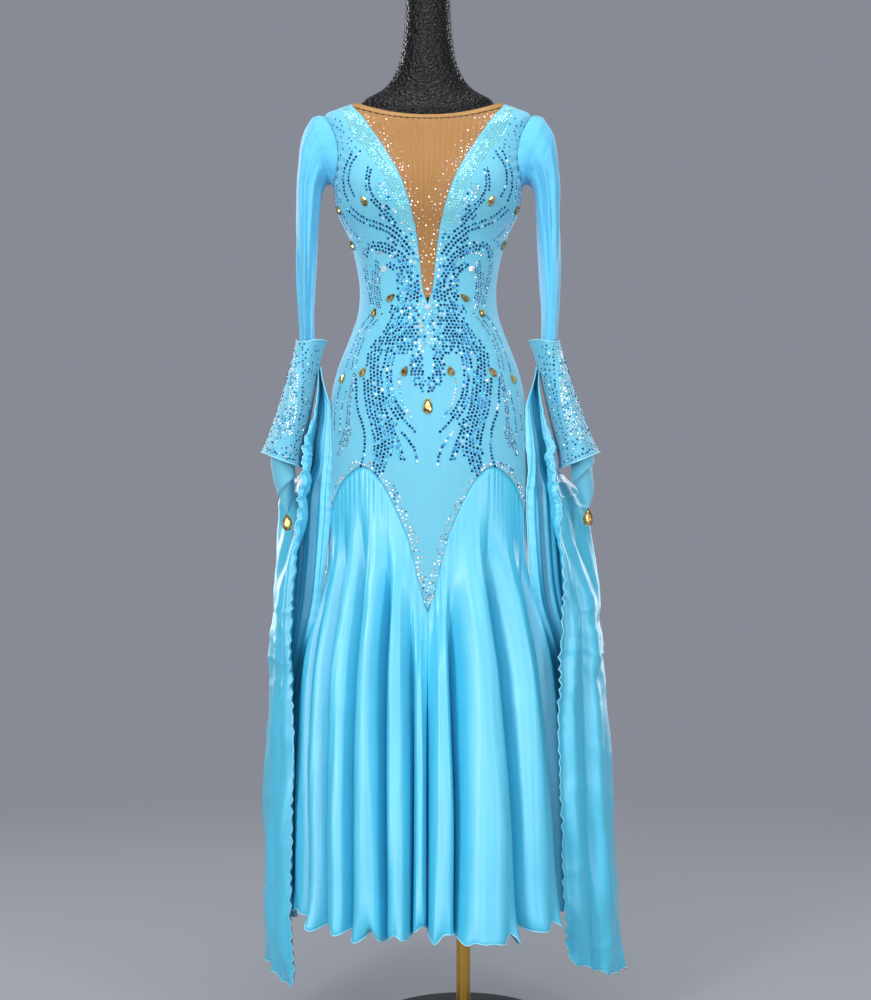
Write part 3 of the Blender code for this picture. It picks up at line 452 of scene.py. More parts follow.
# ---------------------------------------------------------------- materials
class Shader:
    """A Principled material, with short ways to add nodes to it."""

    def __init__(self, name, colour, roughness, **values):
        self.material = bpy.data.materials.new(name)
        self.material.use_nodes = True
        self.tree = self.material.node_tree
        self.surface = self.tree.nodes["Principled BSDF"]
        self.finish({"Base Color": (*colour, 1.0), "Roughness": roughness, **values})

    def finish(self, values):
        """Set inputs of the surface, to values or to what other nodes give, and return the material."""
        self.set(self.surface, values)
        return self.material

    def set(self, node, values):
        for key, value in values.items():
            if isinstance(value, bpy.types.NodeSocket):
                self.tree.links.new(value, node.inputs[key])
            else:
                node.inputs[key].default_value = value

    def node(self, kind, inputs=None, **properties):
        node = self.tree.nodes.new(f"ShaderNode{kind}")
        for key, value in properties.items():
            setattr(node, key, value)
        self.set(node, inputs or {})
        return node

    def stretched(self, scale, coordinate="UV"):
        """Texture coordinates in metres, times a scale along each axis."""
        source = self.node("TexCoord").outputs[coordinate]
        mapping = self.node("Mapping", {"Vector": source, "Scale": scale})
        return mapping.outputs["Vector"]

    def noise(self, scale, detail, coordinate="Object"):
        """Soft noise, with a scale for each axis in lumps to a metre."""
        inputs = {"Vector": self.stretched(scale, coordinate), "Scale": 1.0, "Detail": detail}
        return self.node("TexNoise", inputs).outputs["Fac"]

    def cells(self, scale, output, coordinate="Object", feature="F1"):
        """Cells, with a scale for each axis in cells to a metre."""
        inputs = {"Vector": self.stretched(scale, coordinate), "Scale": 1.0}
        return self.node("TexVoronoi", inputs, feature=feature).outputs[output]

    def threads(self, scale, direction):
        """Straight threads across one direction of the cloth."""
        inputs = {"Vector": self.stretched(scale), "Scale": 0.5}
        return self.node("TexWave", inputs, wave_type="BANDS", bands_direction=direction).outputs["Fac"]

    def ramp(self, value, stops):
        node = self.node("ValToRGB", {"Fac": value})
        elements = node.color_ramp.elements
        while len(elements) < len(stops):
            elements.new(0.5)
        for element, (at, colour) in zip(elements, stops):
            element.position = at
            element.color = (*colour, 1.0)
        return node.outputs["Color"]

    def span(self, value, low, high):
        """A value from 0 to 1 spread over low to high."""
        node = self.node("MapRange", {"Value": value, "To Min": low, "To Max": high})
        return node.outputs["Result"]

    def total(self, a, b):
        return self.node("Math", {0: a, 1: b}, operation="ADD").outputs[0]

    def times(self, a, b):
        return self.node("Math", {0: a, 1: b}, operation="MULTIPLY").outputs[0]

    def bump(self, height, distance):
        node = self.node("Bump", {"Height": height, "Distance": distance})
        self.finish({"Normal": node.outputs["Normal"]})


def shades(colour, darker, lighter):
    return tuple(c * darker for c in colour), tuple(min(1.0, c * lighter) for c in colour)


def cloth_shader(name, colour, roughness, thread, depth, streak, spread, **values):
    """Woven or knitted cloth: threads both ways, soft streaks down it, and a little uneven colour. The base
    colour turns lighter and darker along the streaks, which are painted streak highlights of the cloth's
    sheen, mixed with the uneven colour of the clouds.
    """
    made = Shader(name, colour, roughness, **values)
    warp = made.threads((1.0 / thread, 0, 0), "X")
    weft = made.threads((0, 1.0 / thread, 0), "Y")
    streaks = made.noise((420, 9, 1), 3.0, "UV")
    clouds = made.noise((14, 6, 1), 2.0, "UV")
    weave = made.times(made.total(warp, weft), 0.5)
    made.bump(made.total(weave, made.times(streaks, streak)), depth)
    # painted streak highlights: the base colour is lighter and darker along the vertical streaks, and the
    # clouds add uneven colour
    dark, light = shades(colour, 1 - spread, 1 + spread)
    tone = made.times(made.total(streaks, clouds), 0.5)
    tones = made.ramp(tone, ((0.35, dark), (0.65, light)))
    made.finish({"Base Color": tones})
    return made.finish({"Roughness": made.span(streaks, roughness - 0.05, roughness + 0.07)})


def mesh_cloth_shader(name, colour, hole, **values):
    """Fine net: threads with small holes between them, seen as a pattern of tone and relief."""
    made = Shader(name, colour, 0.55, **values)
    net = made.cells((1 / hole, 1 / hole, 1), "Distance", "UV", "DISTANCE_TO_EDGE")
    streaks = made.noise((300, 12, 1), 3.0, "UV")
    dark, light = shades(colour, 0.80, 1.12)
    tone = made.times(made.total(net, streaks), 0.7)
    made.bump(net, 0.00025)
    return made.finish({"Base Color": made.ramp(tone, ((0.30, light), (0.75, dark)))})


def stone_shader(name, tints, metallic):
    """Foil-backed glass: every stone has its own tint between the given ones."""
    made = Shader(name, tints[0], 0.07, Metallic=metallic, **{"Specular IOR Level": 0.7})
    cells = made.cells((260, 260, 260), "Color")
    pick = made.node("SeparateColor", {"Color": cells}).outputs["Red"]
    stops = [((i + 0.5) / len(tints), tint) for i, tint in enumerate(tints)]
    return made.finish({"Base Color": made.ramp(pick, stops)})


def gold_glass_shader():
    coat = {"Coat Weight": 0.6, "Coat Roughness": 0.03}
    made = Shader("amber_glass", (0.50, 0.30, 0.06), 0.06, Metallic=0.75, **coat)
    veins = made.noise((160, 160, 160), 2.0)
    tones = ((0.35, (0.18, 0.09, 0.015)), (0.62, (0.85, 0.62, 0.22)))
    return made.finish({"Base Color": made.ramp(veins, tones)})


def form_shader():
    """Black lacquer with a hammered face."""
    made = Shader("black_hammered", (0.004, 0.004, 0.0044), 0.22, **{"Specular IOR Level": 0.24})
    dents = made.cells((210, 210, 260), "Distance", feature="SMOOTH_F1")
    grain = made.noise((500, 500, 500), 2.0)
    made.bump(made.total(dents, made.times(grain, 0.25)), 0.0030)
    return made.finish({"Roughness": made.span(grain, 0.20, 0.34)})


def brass_shader():
    made = Shader("polished_brass", (0.68, 0.40, 0.085), 0.20, Metallic=1.0)
    spots = made.noise((12, 12, 8), 4.0)
    tones = made.ramp(spots, ((0.3, (0.56, 0.30, 0.050)), (0.7, (0.78, 0.47, 0.105))))
    made.bump(made.noise((30, 30, 2500), 3.0), 0.00008)
    return made.finish({"Roughness": made.span(spots, 0.12, 0.34), "Base Color": tones})


def base_shader():
    made = Shader("black_powder_coat", (0.014, 0.014, 0.015), 0.42)
    grain = made.noise((900, 900, 900), 2.0)
    made.bump(grain, 0.0003)
    return made.finish({"Roughness": made.span(grain, 0.34, 0.52)})


SOFT_FACE = {"Sheen Weight": 0.30, "Sheen Roughness": 0.45}
GLOSSY_FACE = {"Specular IOR Level": 0.9, "Coat Weight": 0.34, "Coat Roughness": 0.29, "Coat IOR": 1.6}
MATERIALS = {  # the numbers: colour, roughness, thread, depth of the relief, streaks, spread of the tone
    "crepe": cloth_shader(
        "stretch_crepe", (0.150, 0.560, 0.735), 0.58, 0.0006, 0.00012, 0.5, 0.05, **SOFT_FACE
    ),
    "satin": cloth_shader("satin", (0.068, 0.560, 0.800), 0.32, 0.0005, 0.00006, 2.2, 0.06, **GLOSSY_FACE),
    "sleeve": mesh_cloth_shader("sleeve_mesh", (0.095, 0.500, 0.770), 0.0009, **{"Sheen Weight": 0.3}),
    "nude": mesh_cloth_shader("nude_mesh", (0.340, 0.160, 0.034), 0.0009, **{"Sheen Weight": 0.15}),
    "binding": cloth_shader("nude_binding", (0.420, 0.215, 0.055), 0.40, 0.0006, 0.0001, 0.6, 0.05),
    # the rolled and bound edges are a lighter blue than their cloth: a painted highlight, the cloth's bright
    # highlight tone put into the edge colour
    "edge": cloth_shader("rolled_edge_painted_highlight", (0.330, 0.760, 0.890), 0.45, 0.0004, 0.0001, 0.5, 0.05),
    "form": form_shader(),
    "brass": brass_shader(),
    "base": base_shader(),
    "drop": gold_glass_shader(),
}
STONE_TINTS = {  # kind: how metallic it is, its tints
    "sapphire": (0.85, (0.006, 0.055, 0.20), (0.010, 0.10, 0.34), (0.015, 0.16, 0.42)),
    "capri": (0.85, (0.03, 0.26, 0.55), (0.05, 0.36, 0.66), (0.02, 0.20, 0.50)),
    "aqua": (0.6, (0.30, 0.78, 0.95), (0.45, 0.88, 0.98), (0.22, 0.66, 0.90)),
    "crystal": (0.5, (0.85, 0.95, 1.0), (0.95, 0.98, 1.0)),
    "aurora": (0.6, (0.80, 0.62, 0.62), (0.55, 0.85, 0.75), (0.70, 0.72, 0.95), (0.90, 0.80, 0.55)),
    "mint": (0.6, (0.36, 0.80, 0.66), (0.55, 0.88, 0.72), (0.30, 0.72, 0.78)),
    "rose": (0.6, (0.78, 0.44, 0.36), (0.88, 0.58, 0.42), (0.70, 0.40, 0.46)),
    "violet": (0.85, (0.22, 0.20, 0.40), (0.38, 0.34, 0.55), (0.16, 0.24, 0.44)),
}
STONES = {
    kind: stone_shader(f"stone_{kind}", tints, metallic) for kind, (metallic, *tints) in STONE_TINTS.items()
}


# ---------------------------------------------------------------- pieces of cloth
def cloth_piece(name, rows, material, thickness, slot, size, closed=False, mirrored=False):
    """One cut piece: a sheet through rows of points, made thick towards its inside."""
    piece = new_object(f"{name}_cloth", grid_mesh(name, rows, closed, size), MATERIALS[material])
    if mirrored:
        piece.modifiers.new("other half", "MIRROR").merge_threshold = 0.00005
    solidify = piece.modifiers.new("cloth", "SOLIDIFY")
    solidify.thickness = thickness
    solidify.offset = -1.0
    return settle(piece, name, slot=slot)


def edge_piece(name, path, radius, slot, closed=False):
    """The rolled or bound edge of a piece, along a path of points, in the lighter edge colour, which is a
    painted highlight on the rounded edge.
    """
    mesh = tube_mesh(name, path, radius, closed=closed)
    return settle(new_object(name, mesh, MATERIALS["edge"]), slot=slot)


# ---------------------------------------------------------------- bodice
SIDE_ROWS, ARMHOLE_ROWS = 4, 7  # the rows that the panels' edges are given in
TOP_ROW = SIDE_ROWS + ARMHOLE_ROWS
ARMHOLE_REACH = 27.0
QUARTER_COLUMNS = 44
LOWER_ROWS = 64
UPPER_STEPS = 7  # rows of the grid to a row of the edges


def seam_z(degrees):
    """The height of the pointed seam; it has a point at the centre, the sides and the back centre."""
    folded = abs((degrees + 180) % 360 - 180)
    return table_at(POINTED_SEAM, folded if folded <= 90 else 180 - folded)[0]


def side_edge(row, front):
    """(degrees, position) of a bodice panel's outer edge: the side seam, then the armhole."""
    if row <= SIDE_ROWS:
        return 90.0, position_at(mix(WAIST_Z, ARMPIT_Z, row / SIDE_ROWS), 90.0)
    share = (row - SIDE_ROWS) / ARMHOLE_ROWS
    z = mix(ARMPIT_Z, SHOULDER_TIP_Z, (1 - math.cos(math.pi * share)) / 2)
    reach = ARMHOLE_REACH * max(0.0, math.sin(math.pi * share)) ** 0.85
    degrees = 90.0 - reach if front else 90.0 + reach
    return degrees, position_at(z, degrees)


def v_half_width(z):
    return max(0.0, table_at(V_EDGE, min(max(z, V_EDGE[0][0]), V_EDGE[-1][0]))[0])


@lru_cache(maxsize=None)
def v_edge(row):
    """(degrees, position) of the front panel's inner edge: the V, up to the shoulder seam."""
    if row >= TOP_ROW:
        return 90.0, NECKLINE_RING
    z = mix(V_EDGE[0][0], V_EDGE[-1][0], (row / TOP_ROW) ** 0.93)
    at = seen_at(v_half_width(z), z)
    late = smooth_step(row - TOP_ROW + 1)  # the edge runs into the shoulder seam over its last row
    return mix(at[0], 90.0, late), mix(at[1], NECKLINE_RING, late)


def bodice_rows(front):
    """Rows of points over the +X half of a bodice panel, from its centre edge to its side edge."""
    shares = [c / QUARTER_COLUMNS for c in range(QUARTER_COLUMNS + 1)]
    turns = [90.0 * s if front else 180.0 - 90.0 * s for s in shares]
    rows = []
    for r in range(LOWER_ROWS):
        rows.append([])
        for turn in turns:
            z = mix(seam_z(turn), WAIST_Z, r / LOWER_ROWS)
            rows[-1].append(figure(turn, position_at(z, turn)))
        rows[-1][0].x = 0.0
    for r in range(TOP_ROW * UPPER_STEPS + 1):
        row = r / UPPER_STEPS
        centre = (180.0, mix(position_at(WAIST_Z, 180.0), NECKLINE_RING, row / TOP_ROW))
        inner, outer = (v_edge(row) if front else centre), side_edge(row, front)
        rows.append([figure(mix(inner[0], outer[0], s), mix(inner[1], outer[1], s)) for s in shares])
        if not front or row == 0:
            rows[-1][0].x = 0.0
    return rows if front else [list(reversed(row)) for row in rows]


CREASE_PITCH, ARM_CREASE_PITCH = 0.019, 0.017
CREASE_HEIGHT, ARM_CREASE_HEIGHT = 0.0007, 0.0008


def pull_creases(rows):
    """Soft pull lines: across the waist at the sides, and from the armhole towards the bust."""
    for row in rows:
        for point in row:
            out_x = abs(point.x)
            waist = math.exp(-(((point.z - 1.165) / 0.055) ** 2)) * smooth_step((out_x - 0.045) / 0.06)
            phase = (point.z + 0.25 * out_x) * 2 * math.pi / CREASE_PITCH
            ridge = math.sin(phase + 2.5 * soft_noise(point.x * 9, 3, 1))
            arm = math.exp(-(((point.z - 1.405) / 0.030) ** 2)) * smooth_step((out_x - 0.11) / 0.03)
            slant = math.sin((point.z - 0.8 * out_x) * 2 * math.pi / ARM_CREASE_PITCH)
            uneven = 0.5 + soft_noise(point.x * 25, point.z * 25, 7)
            push = CREASE_HEIGHT * waist * ridge * uneven + ARM_CREASE_HEIGHT * arm * slant
            point += Vector((point.x, point.y, 0)).normalized() * push
    return rows


def build_bodice():
    made = {}
    for name, front in (("bodice_front", True), ("bodice_back", False)):
        rows = pull_creases(bodice_rows(front))
        made[name] = cloth_piece(name, rows, "crepe", CREPE, "crepe", (0.24, 0.84), mirrored=True)
    return made


# ---------------------------------------------------------------- V inset and its binding
GATHER_PITCH = 0.0097
GATHER_HEIGHT = 0.0007
INSET_COLUMNS, INSET_ROWS = 84, 90
BINDING_COLUMNS, BINDING_ROWS = 32, 5
BINDING_SWELL = 0.0008


def v_row_at(position):
    low, high = 0.0, float(TOP_ROW)
    for _ in range(26):
        middle = (low + high) / 2
        if v_edge(round(middle, 6))[1] < position:
            low = middle
        else:
            high = middle
    return low


def gathered(point, outward, top_z):
    """Fine gathers that run down from the binding and close up slightly towards the point of the V."""
    open_share = (point.z - WAIST_Z) / (top_z - WAIST_Z)
    pitch = GATHER_PITCH * (0.62 + 0.38 * open_share)
    wander = 0.9 * soft_noise(point.x * 18, point.z * 7, 4)
    ridge = math.cos(2 * math.pi * point.x / pitch + wander)
    return point + outward * (GATHER_HEIGHT * (ridge - 1) * min(1.0, 0.35 + open_share))


def build_inset():
    top = NECKLINE_RING - BINDING_HEIGHT / RING_PITCH
    start = position_at(V_EDGE[0][0], 0.0)
    last = v_row_at(top)
    rows = []
    top_z = figure(0.0, top).z
    for r in range(INSET_ROWS + 1):
        row = mix(0.3, last, r / INSET_ROWS)
        degrees, position = v_edge(row)
        centre = mix(start, top, row / last)
        half = []
        for c in range(INSET_COLUMNS + 1):
            share = c / INSET_COLUMNS
            at = (degrees * share, mix(centre, position, share**1.5))
            half.append(gathered(figure(*at), figure_normal(*at), top_z))
        half[0].x = 0.0
        half[-1] = figure(degrees, position) - Vector((1.6 * SEAM_GAP, 0, 0))
        rows.append(doubled(half))
    inset = cloth_piece("v_inset", rows, "nude", FINE_MESH, "nude_mesh", (0.27, 0.36))

    strip = []
    for k in range(BINDING_ROWS + 1):
        position = mix(top + 0.06, NECKLINE_RING, k / BINDING_ROWS)
        end = v_edge(v_row_at(position))[0]
        swell = BINDING_SWELL * math.sin(math.pi * k / BINDING_ROWS)
        half = []
        for c in range(BINDING_COLUMNS + 1):
            at = (end * c / BINDING_COLUMNS, position)
            half.append(figure(*at) + figure_normal(*at) * swell)
        half[0].x = 0.0
        half[-1].x -= 2 * SEAM_GAP
        strip.append(doubled(half))
    size = (0.27, BINDING_HEIGHT)
    binding = cloth_piece("neck_binding", strip, "binding", 1.5 * FINE_MESH, "nude_mesh", size)
    return inset, binding


# ---------------------------------------------------------------- skirt
FOLD_STEPS, SKIRT_ROWS = 29, 88
HEM_RADIUS = 0.0011
FLUTTER_DEGREES = 10.5  # one small wave of the hem
FLUTTER_DEPTH, FLUTTER_RISE, FLUTTER_REACH = 0.0090, 0.0078, 0.022
CURL_DEPTH, CURL_REACH = 0.0110, 0.007
# The valleys that reach far in, by the degrees where their fold starts at the top.
DEEP_VALLEYS = {
    **{-67: 0.014, -39: 0.018, -23: 0.056, -9: 0.012, 12: 0.024, 35: 0.060, 63: 0.020},
    **{119: 0.026, 163: 0.036, 209: 0.040, 241: 0.020},
}
DEEP_WIDTH = 0.15  # of a fold's width
DEEP_TOP_Z, DEEP_RUN = 0.800, 0.25  # they start at this height, and are whole this far below it
RIPPLE_HEIGHT, RIDGE_HEIGHT = 0.0036, 0.0016
SEAM_GATHER_HEIGHT = 0.0016
SEAM_GATHER_DEGREES = 3.6  # one gather at the pointed seam


def flare_point(degrees, z):
    left, right, front, back = flare_row(round(z, 5))
    s, c = math.sin(math.radians(degrees)), math.cos(math.radians(degrees))
    return Vector(((right if s > 0 else left) * s, -(front if c > 0 else back) * c, z))


@lru_cache(maxsize=None)
def flare_row(z):
    return tuple(table_at(FLARE, z))


def godet_lines(name):
    """The folds with their own small differences: (top, hem, crest, drop, late, wander, phase, ripple)."""
    pick = random.Random(name)
    ranges = ((0.5, 1.6), (0, 6.28), (0.2, 1.0))  # of wander, phase and ripple
    lines = [(*fold, *[pick.uniform(*ends) for ends in ranges]) for fold in FOLDS[name]]
    end = FOLD_ENDS[name]
    lines.append((end, end, *[0.0] * 6))
    return lines


def fold_bump(share):
    return (0.5 - 0.5 * math.cos(2 * math.pi * share)) ** 0.62


def fold_swell(fold, after, share, down, z):
    """How far the cloth stands out from the flare, at a share of the way across a fold."""
    _, _, crest, _, late, _, phase, ripple = fold
    bump = fold_bump(share)
    opened = max(0.0, (down - late) / (1 - late)) ** (0.62 + 0.3 * ripple)
    out = crest * bump * FOLD_DEPTH * opened - VALLEY_DEPTH * smooth_step(down * 2.6) * (1 - 0.6 * bump)
    reach = smooth_step((DEEP_TOP_Z - z) / DEEP_RUN) * (1 - 0.5 * smooth_step((down - 0.8) / 0.2))
    for line, away in ((fold, share), (after, 1 - share)):
        out -= DEEP_VALLEYS.get(line[0], 0.0) * math.exp(-((away / DEEP_WIDTH) ** 2)) * reach
    # a smaller ripple on the side of the fold, and a fine ridge, which come and go on the way down
    window = math.sin(math.pi * min(1.0, max(0.0, (down - 0.12) / 0.9)))
    turn = 2 * math.pi * (1.5 * share + 0.4 * down) + phase
    out += RIPPLE_HEIGHT * ripple * window * math.sin(turn) * bump
    for at, side in ((0.34 + 0.10 * ripple, 1), (0.70 - 0.08 * ripple, -1)):
        along = at + 0.06 * side * soft_noise(down * 3.0, phase, side)
        out += RIDGE_HEIGHT * smooth_step(down * 4) * math.exp(-(((share - along) / 0.040) ** 2))
    return out


def seam_gather(degrees, below):
    """How far the gathers stand out where a godet is eased into the seam, at a distance below it."""
    height = math.exp(-below / 0.040) * (1 - math.exp(-below / 0.004))
    height *= SEAM_GATHER_HEIGHT * (0.55 + 1.1 * soft_noise(degrees * 0.09, 8, 3))
    wander = 3.0 * soft_noise(degrees * 0.15, 1, 2)
    return height * math.sin(2 * math.pi * degrees / SEAM_GATHER_DEGREES + wander)


def hem_flutter(degrees, above):
    """(outward, up) push of the fluttering edge, which curls under in places."""
    edge = math.exp(-above / FLUTTER_REACH)
    uneven = 0.75 + 1.3 * soft_noise(degrees * 0.07, 6, 2)
    wave = 2 * math.pi * degrees / FLUTTER_DEGREES + 3.4 * soft_noise(degrees * 0.09, 4, 9)
    out = (0.0030 + FLUTTER_DEPTH * uneven * math.sin(wave)) * edge
    out -= CURL_DEPTH * max(0.0, uneven) * math.exp(-above / CURL_REACH) * (0.5 + 0.5 * math.cos(wave * 0.5))
    return out, FLUTTER_RISE * uneven * edge * math.cos(wave + 1.0)


def godet_point(fold, after, share, down):
    """A point of the skirt: share across the fold, down from the seam to the hem."""
    top_degrees = mix(fold[0], after[0], share)
    edge_z = seam_z(top_degrees)
    start = figure(top_degrees, position_at(edge_z, top_degrees))
    hem_z = HEM_Z - fold[3] * fold_bump(share)
    z = mix(edge_z - 1.5 * SEAM_GAP, hem_z, down)
    pinch = 0.94 * smooth_step(down * 1.4)
    leaned = share - pinch * math.sin(2 * math.pi * share) / (2 * math.pi)
    ends = []
    for top, hem, _, _, _, wander, phase, _ in (fold, after):
        sway = wander * math.sin(phase + 4.0 * down) * down
        ends.append(hem + (sway if top % 90 else 0.0))
    hem_degrees = mix(*ends, leaned)
    degrees = mix(top_degrees, hem_degrees, down**0.9)
    hung = flare_point(degrees, z)
    radial = Vector((hung.x, hung.y, 0)).normalized()
    gather = seam_gather(top_degrees, edge_z - z)
    out = fold_swell(fold, after, share, down, z) + gather
    # soft uneven creases
    out += 0.0034 * down * soft_noise(degrees * 0.16, z * 5.5, fold[6])
    out += 0.0009 * soft_noise(degrees * 0.9, z * 9, 5)
    flutter, rise = hem_flutter(hem_degrees, z - hem_z)
    hung += radial * (out + flutter)
    hung.z += rise
    straight = Vector((start.x, start.y, z)) + radial * (gather - SEAM_GAP)
    return straight.lerp(hung, smooth_step(down * 3.2))


def build_skirt():
    made = {}
    for name in FOLDS:
        lines = godet_lines(name)
        rows = []
        for r in range(SKIRT_ROWS + 1):
            down = 1 - (r / SKIRT_ROWS) ** 1.15 if r else 1.0
            row = []
            for fold, after in zip(lines, lines[1:]):
                for step in range(FOLD_STEPS):
                    row.append(godet_point(fold, after, step / FOLD_STEPS, down))
            row.append(godet_point(lines[-2], lines[-1], 1.0, down))
            rows.append(row)
        piece = cloth_piece(name, rows, "satin", SATIN, "satin", (0.85, 0.70))
        made[name] = (piece, [edge_piece(f"{name}_rolled_hem", rows[0], HEM_RADIUS, "satin")])
    return made


# ---------------------------------------------------------------- sleeves
SLEEVE_COLUMNS, SLEEVE_RINGS = 72, 130
SLEEVE_TWIST = {"left": -6, "right": 14}  # how far round all the folds are turned, in degrees
# Long folds of a slack sleeve. turn runs round from the inner side over the front (90) to the outer side
# (180) and the back (270), in degrees; each fold leans from its upper to its lower turn.
SLEEVE_FOLDS = (  # upper_turn, lower_turn, top, bottom, width, height
    (66, 78, 0.12, 0.72, 9, 0.0056),
    (108, 96, 0.20, 0.90, 8, 0.0062),
    (138, 124, 0.10, 0.62, 10, 0.0050),
    (92, 110, 0.52, 0.97, 8, 0.0052),
    (46, 54, 0.48, 0.96, 9, 0.0048),
    (150, 146, 0.50, 0.98, 9, 0.0046),
    (28, 34, 0.16, 0.60, 10, 0.0040),
    (200, 232, 0.12, 0.66, 12, 0.0046),
    (285, 246, 0.22, 0.86, 11, 0.0052),
    (320, 300, 0.40, 0.90, 11, 0.0042),
    (245, 270, 0.05, 0.40, 12, 0.0036),
)


@lru_cache(maxsize=None)
def armhole_point(turn):
    """The armhole's edge on the +X side, from the armpit up the front, over the shoulder, down the back."""
    row = turn / 180.0 if turn <= 180 else 2 - turn / 180.0
    return figure(*side_edge(SIDE_ROWS + row * ARMHOLE_ROWS, turn <= 180))


def hand_sections(side):
    """The hand point from its tip to its top: (x, z, half width, half depth) of each ring."""
    _, inner_x, outer_x, tip_x, tip_z = ARMS[side]
    middle = mix(inner_x, outer_x, 0.5)
    return (
        (tip_x, tip_z, 0.0025, 0.0030),
        (mix(tip_x, middle, 0.25), mix(tip_z, 0.905, 0.50), 0.0120, 0.0130),
        (mix(tip_x, middle, 0.55), 0.905, 0.0165, 0.0230),
        (mix(tip_x, middle, 0.85), 0.940, 0.0170, 0.0280),
        (middle - 0.010, HAND_POINT_TOP_Z, 0.0140, 0.0290),
    )


def sleeve_crease(turn, down, shift):
    """How far the cloth stands out at a turn, in degrees, and a share of the way down."""
    height = 0.0
    for upper, lower, top, bottom, width, high in SLEEVE_FOLDS:
        if not top < down < bottom:
            continue
        along = (down - top) / (bottom - top)
        away = (turn - mix(upper, lower, along) - shift + 180) % 360 - 180
        lee = width * (0.55 if away > 0 else 1.3)  # steep on one side, so that the folds seem to overlap
        height += high * math.sin(math.pi * along) ** 0.7 * math.exp(-((away / lee) ** 2))
    return height


def build_sleeves():
    made = {}
    for side, (sign, *_) in ARMS.items():
        x, z, half, depth = hand_sections(side)[-1]
        z += 2 * SEAM_GAP
        table = (*SLEEVE, (x - half, z, x + half, z, HAND_POINT_Y, depth))
        rows = []
        for r in range(SLEEVE_RINGS + 1):
            down = r / SLEEVE_RINGS
            position = down * len(table) - 1  # the first stretch joins the armhole to the first ring
            inner_x, inner_z, outer_x, outer_z, y, depth = table_row(table, max(0.0, position))
            inner, outer = Vector((inner_x, y, inner_z)), Vector((outer_x, y, outer_z))
            middle = (inner + outer) / 2
            row = []
            for i in range(SLEEVE_COLUMNS):
                turn = 360.0 * i / SLEEVE_COLUMNS
                point = inner.lerp(outer, (1 - math.cos(math.radians(turn))) / 2)
                point -= Vector((0, depth * math.sin(math.radians(turn)), 0))
                out = (point - middle).normalized()
                shift = SLEEVE_TWIST[side]
                fine = 0.0012 * soft_noise(turn * 0.035, down * 14, sign * 3) * smooth_step(down * 8)
                point += out * (sleeve_crease(turn, down, shift) - 0.0022 + fine)
                if position < 0:
                    edge = armhole_point(turn) + Vector((0.0003, 0, 0))
                    arch = math.sin(math.pi * (position + 1))
                    ease = 0.0006 * math.sin(math.radians(turn) * 26) + 0.0016
                    point = edge.lerp(point, position + 1) + out * (ease * arch)
                row.append(Vector((sign * point.x, point.y, point.z)))
            rows.append(row)
        rows.reverse()
        name = f"sleeve_{side}"
        rows = facing_out(rows, sign)
        made[name] = cloth_piece(name, rows, "sleeve", FINE_MESH, "sleeve_mesh", (0.22, 0.52), closed=True)
    return made


# ---------------------------------------------------------------- cuffs, hand points and floats
CUFF_COLUMNS, CUFF_ROWS = 72, 44
CUFF_EDGE_RADIUS = 0.0013


def cuff_point(side, turn, down):
    """A point of the cuff: turn in radians from the front towards the outer side, down from its top edge."""
    sign, inner_x, outer_x, *_ = ARMS[side]
    share = (1 + math.sin(turn)) / 2
    rise = 1 - down
    inner = mix(inner_x, CUFF_TOP_INNER_X, rise)
    outer = mix(CUFF_TOP_OUTER_X, outer_x, down**1.15)
    depth = mix(CUFF_DEPTH, CUFF_TOP_DEPTH, rise)
    z = mix(
        mix(CUFF_INNER_Z, CUFF_TOP_Z - 0.004, rise),
        mix(CUFF_OUTER_Z, CUFF_TOP_Z + 0.004, rise),
        share,
    )
    x, y = mix(inner, outer, share), CUFF_Y - depth * math.cos(turn)
    lip = math.exp(-down / 0.08)
    inward = max(0.0, -math.sin(turn))
    x -= 0.006 * lip * inward**2
    z += 0.004 * lip * inward - 0.006 * lip * max(0.0, math.cos(turn - 0.6)) ** 2
    wave = 0.0016 * math.sin(3 * turn + 2.5 * down) * down + 0.0009 * soft_noise(turn * 1.2, down * 3, sign)
    bell = 0.003 * math.exp(-(1 - down) / 0.07)
    y -= (wave + bell) * math.cos(turn)
    x += (wave + bell) * math.sin(turn)
    return Vector((sign * x, y, z))


def build_cuffs():
    made = {}
    turns = [2 * math.pi * i / CUFF_COLUMNS for i in range(CUFF_COLUMNS)]
    for side, (sign, *_) in ARMS.items():
        name = f"cuff_{side}"
        rows = [[cuff_point(side, turn, 1 - r / CUFF_ROWS) for turn in turns] for r in range(CUFF_ROWS + 1)]
        rows = facing_out(rows, sign)
        piece = cloth_piece(name, rows, "crepe", CUFF_CLOTH, "crepe", (0.30, 0.21), closed=True)
        edges = [
            edge_piece(f"{name}_edge_{number}", row, CUFF_EDGE_RADIUS, "crepe", closed=True)
            for number, row in ((1, rows[0]), (2, rows[-1]))
        ]
        made[name] = (piece, edges)
    return made


HAND_CREASE = {"left": (-0.2395, 0.8796), "right": (0.2310, 0.8876)}  # an (x, z) on the diagonal crease
HAND_CREASE_SLOPE = 1.25
HAND_COLUMNS, HAND_RINGS = 56, 96


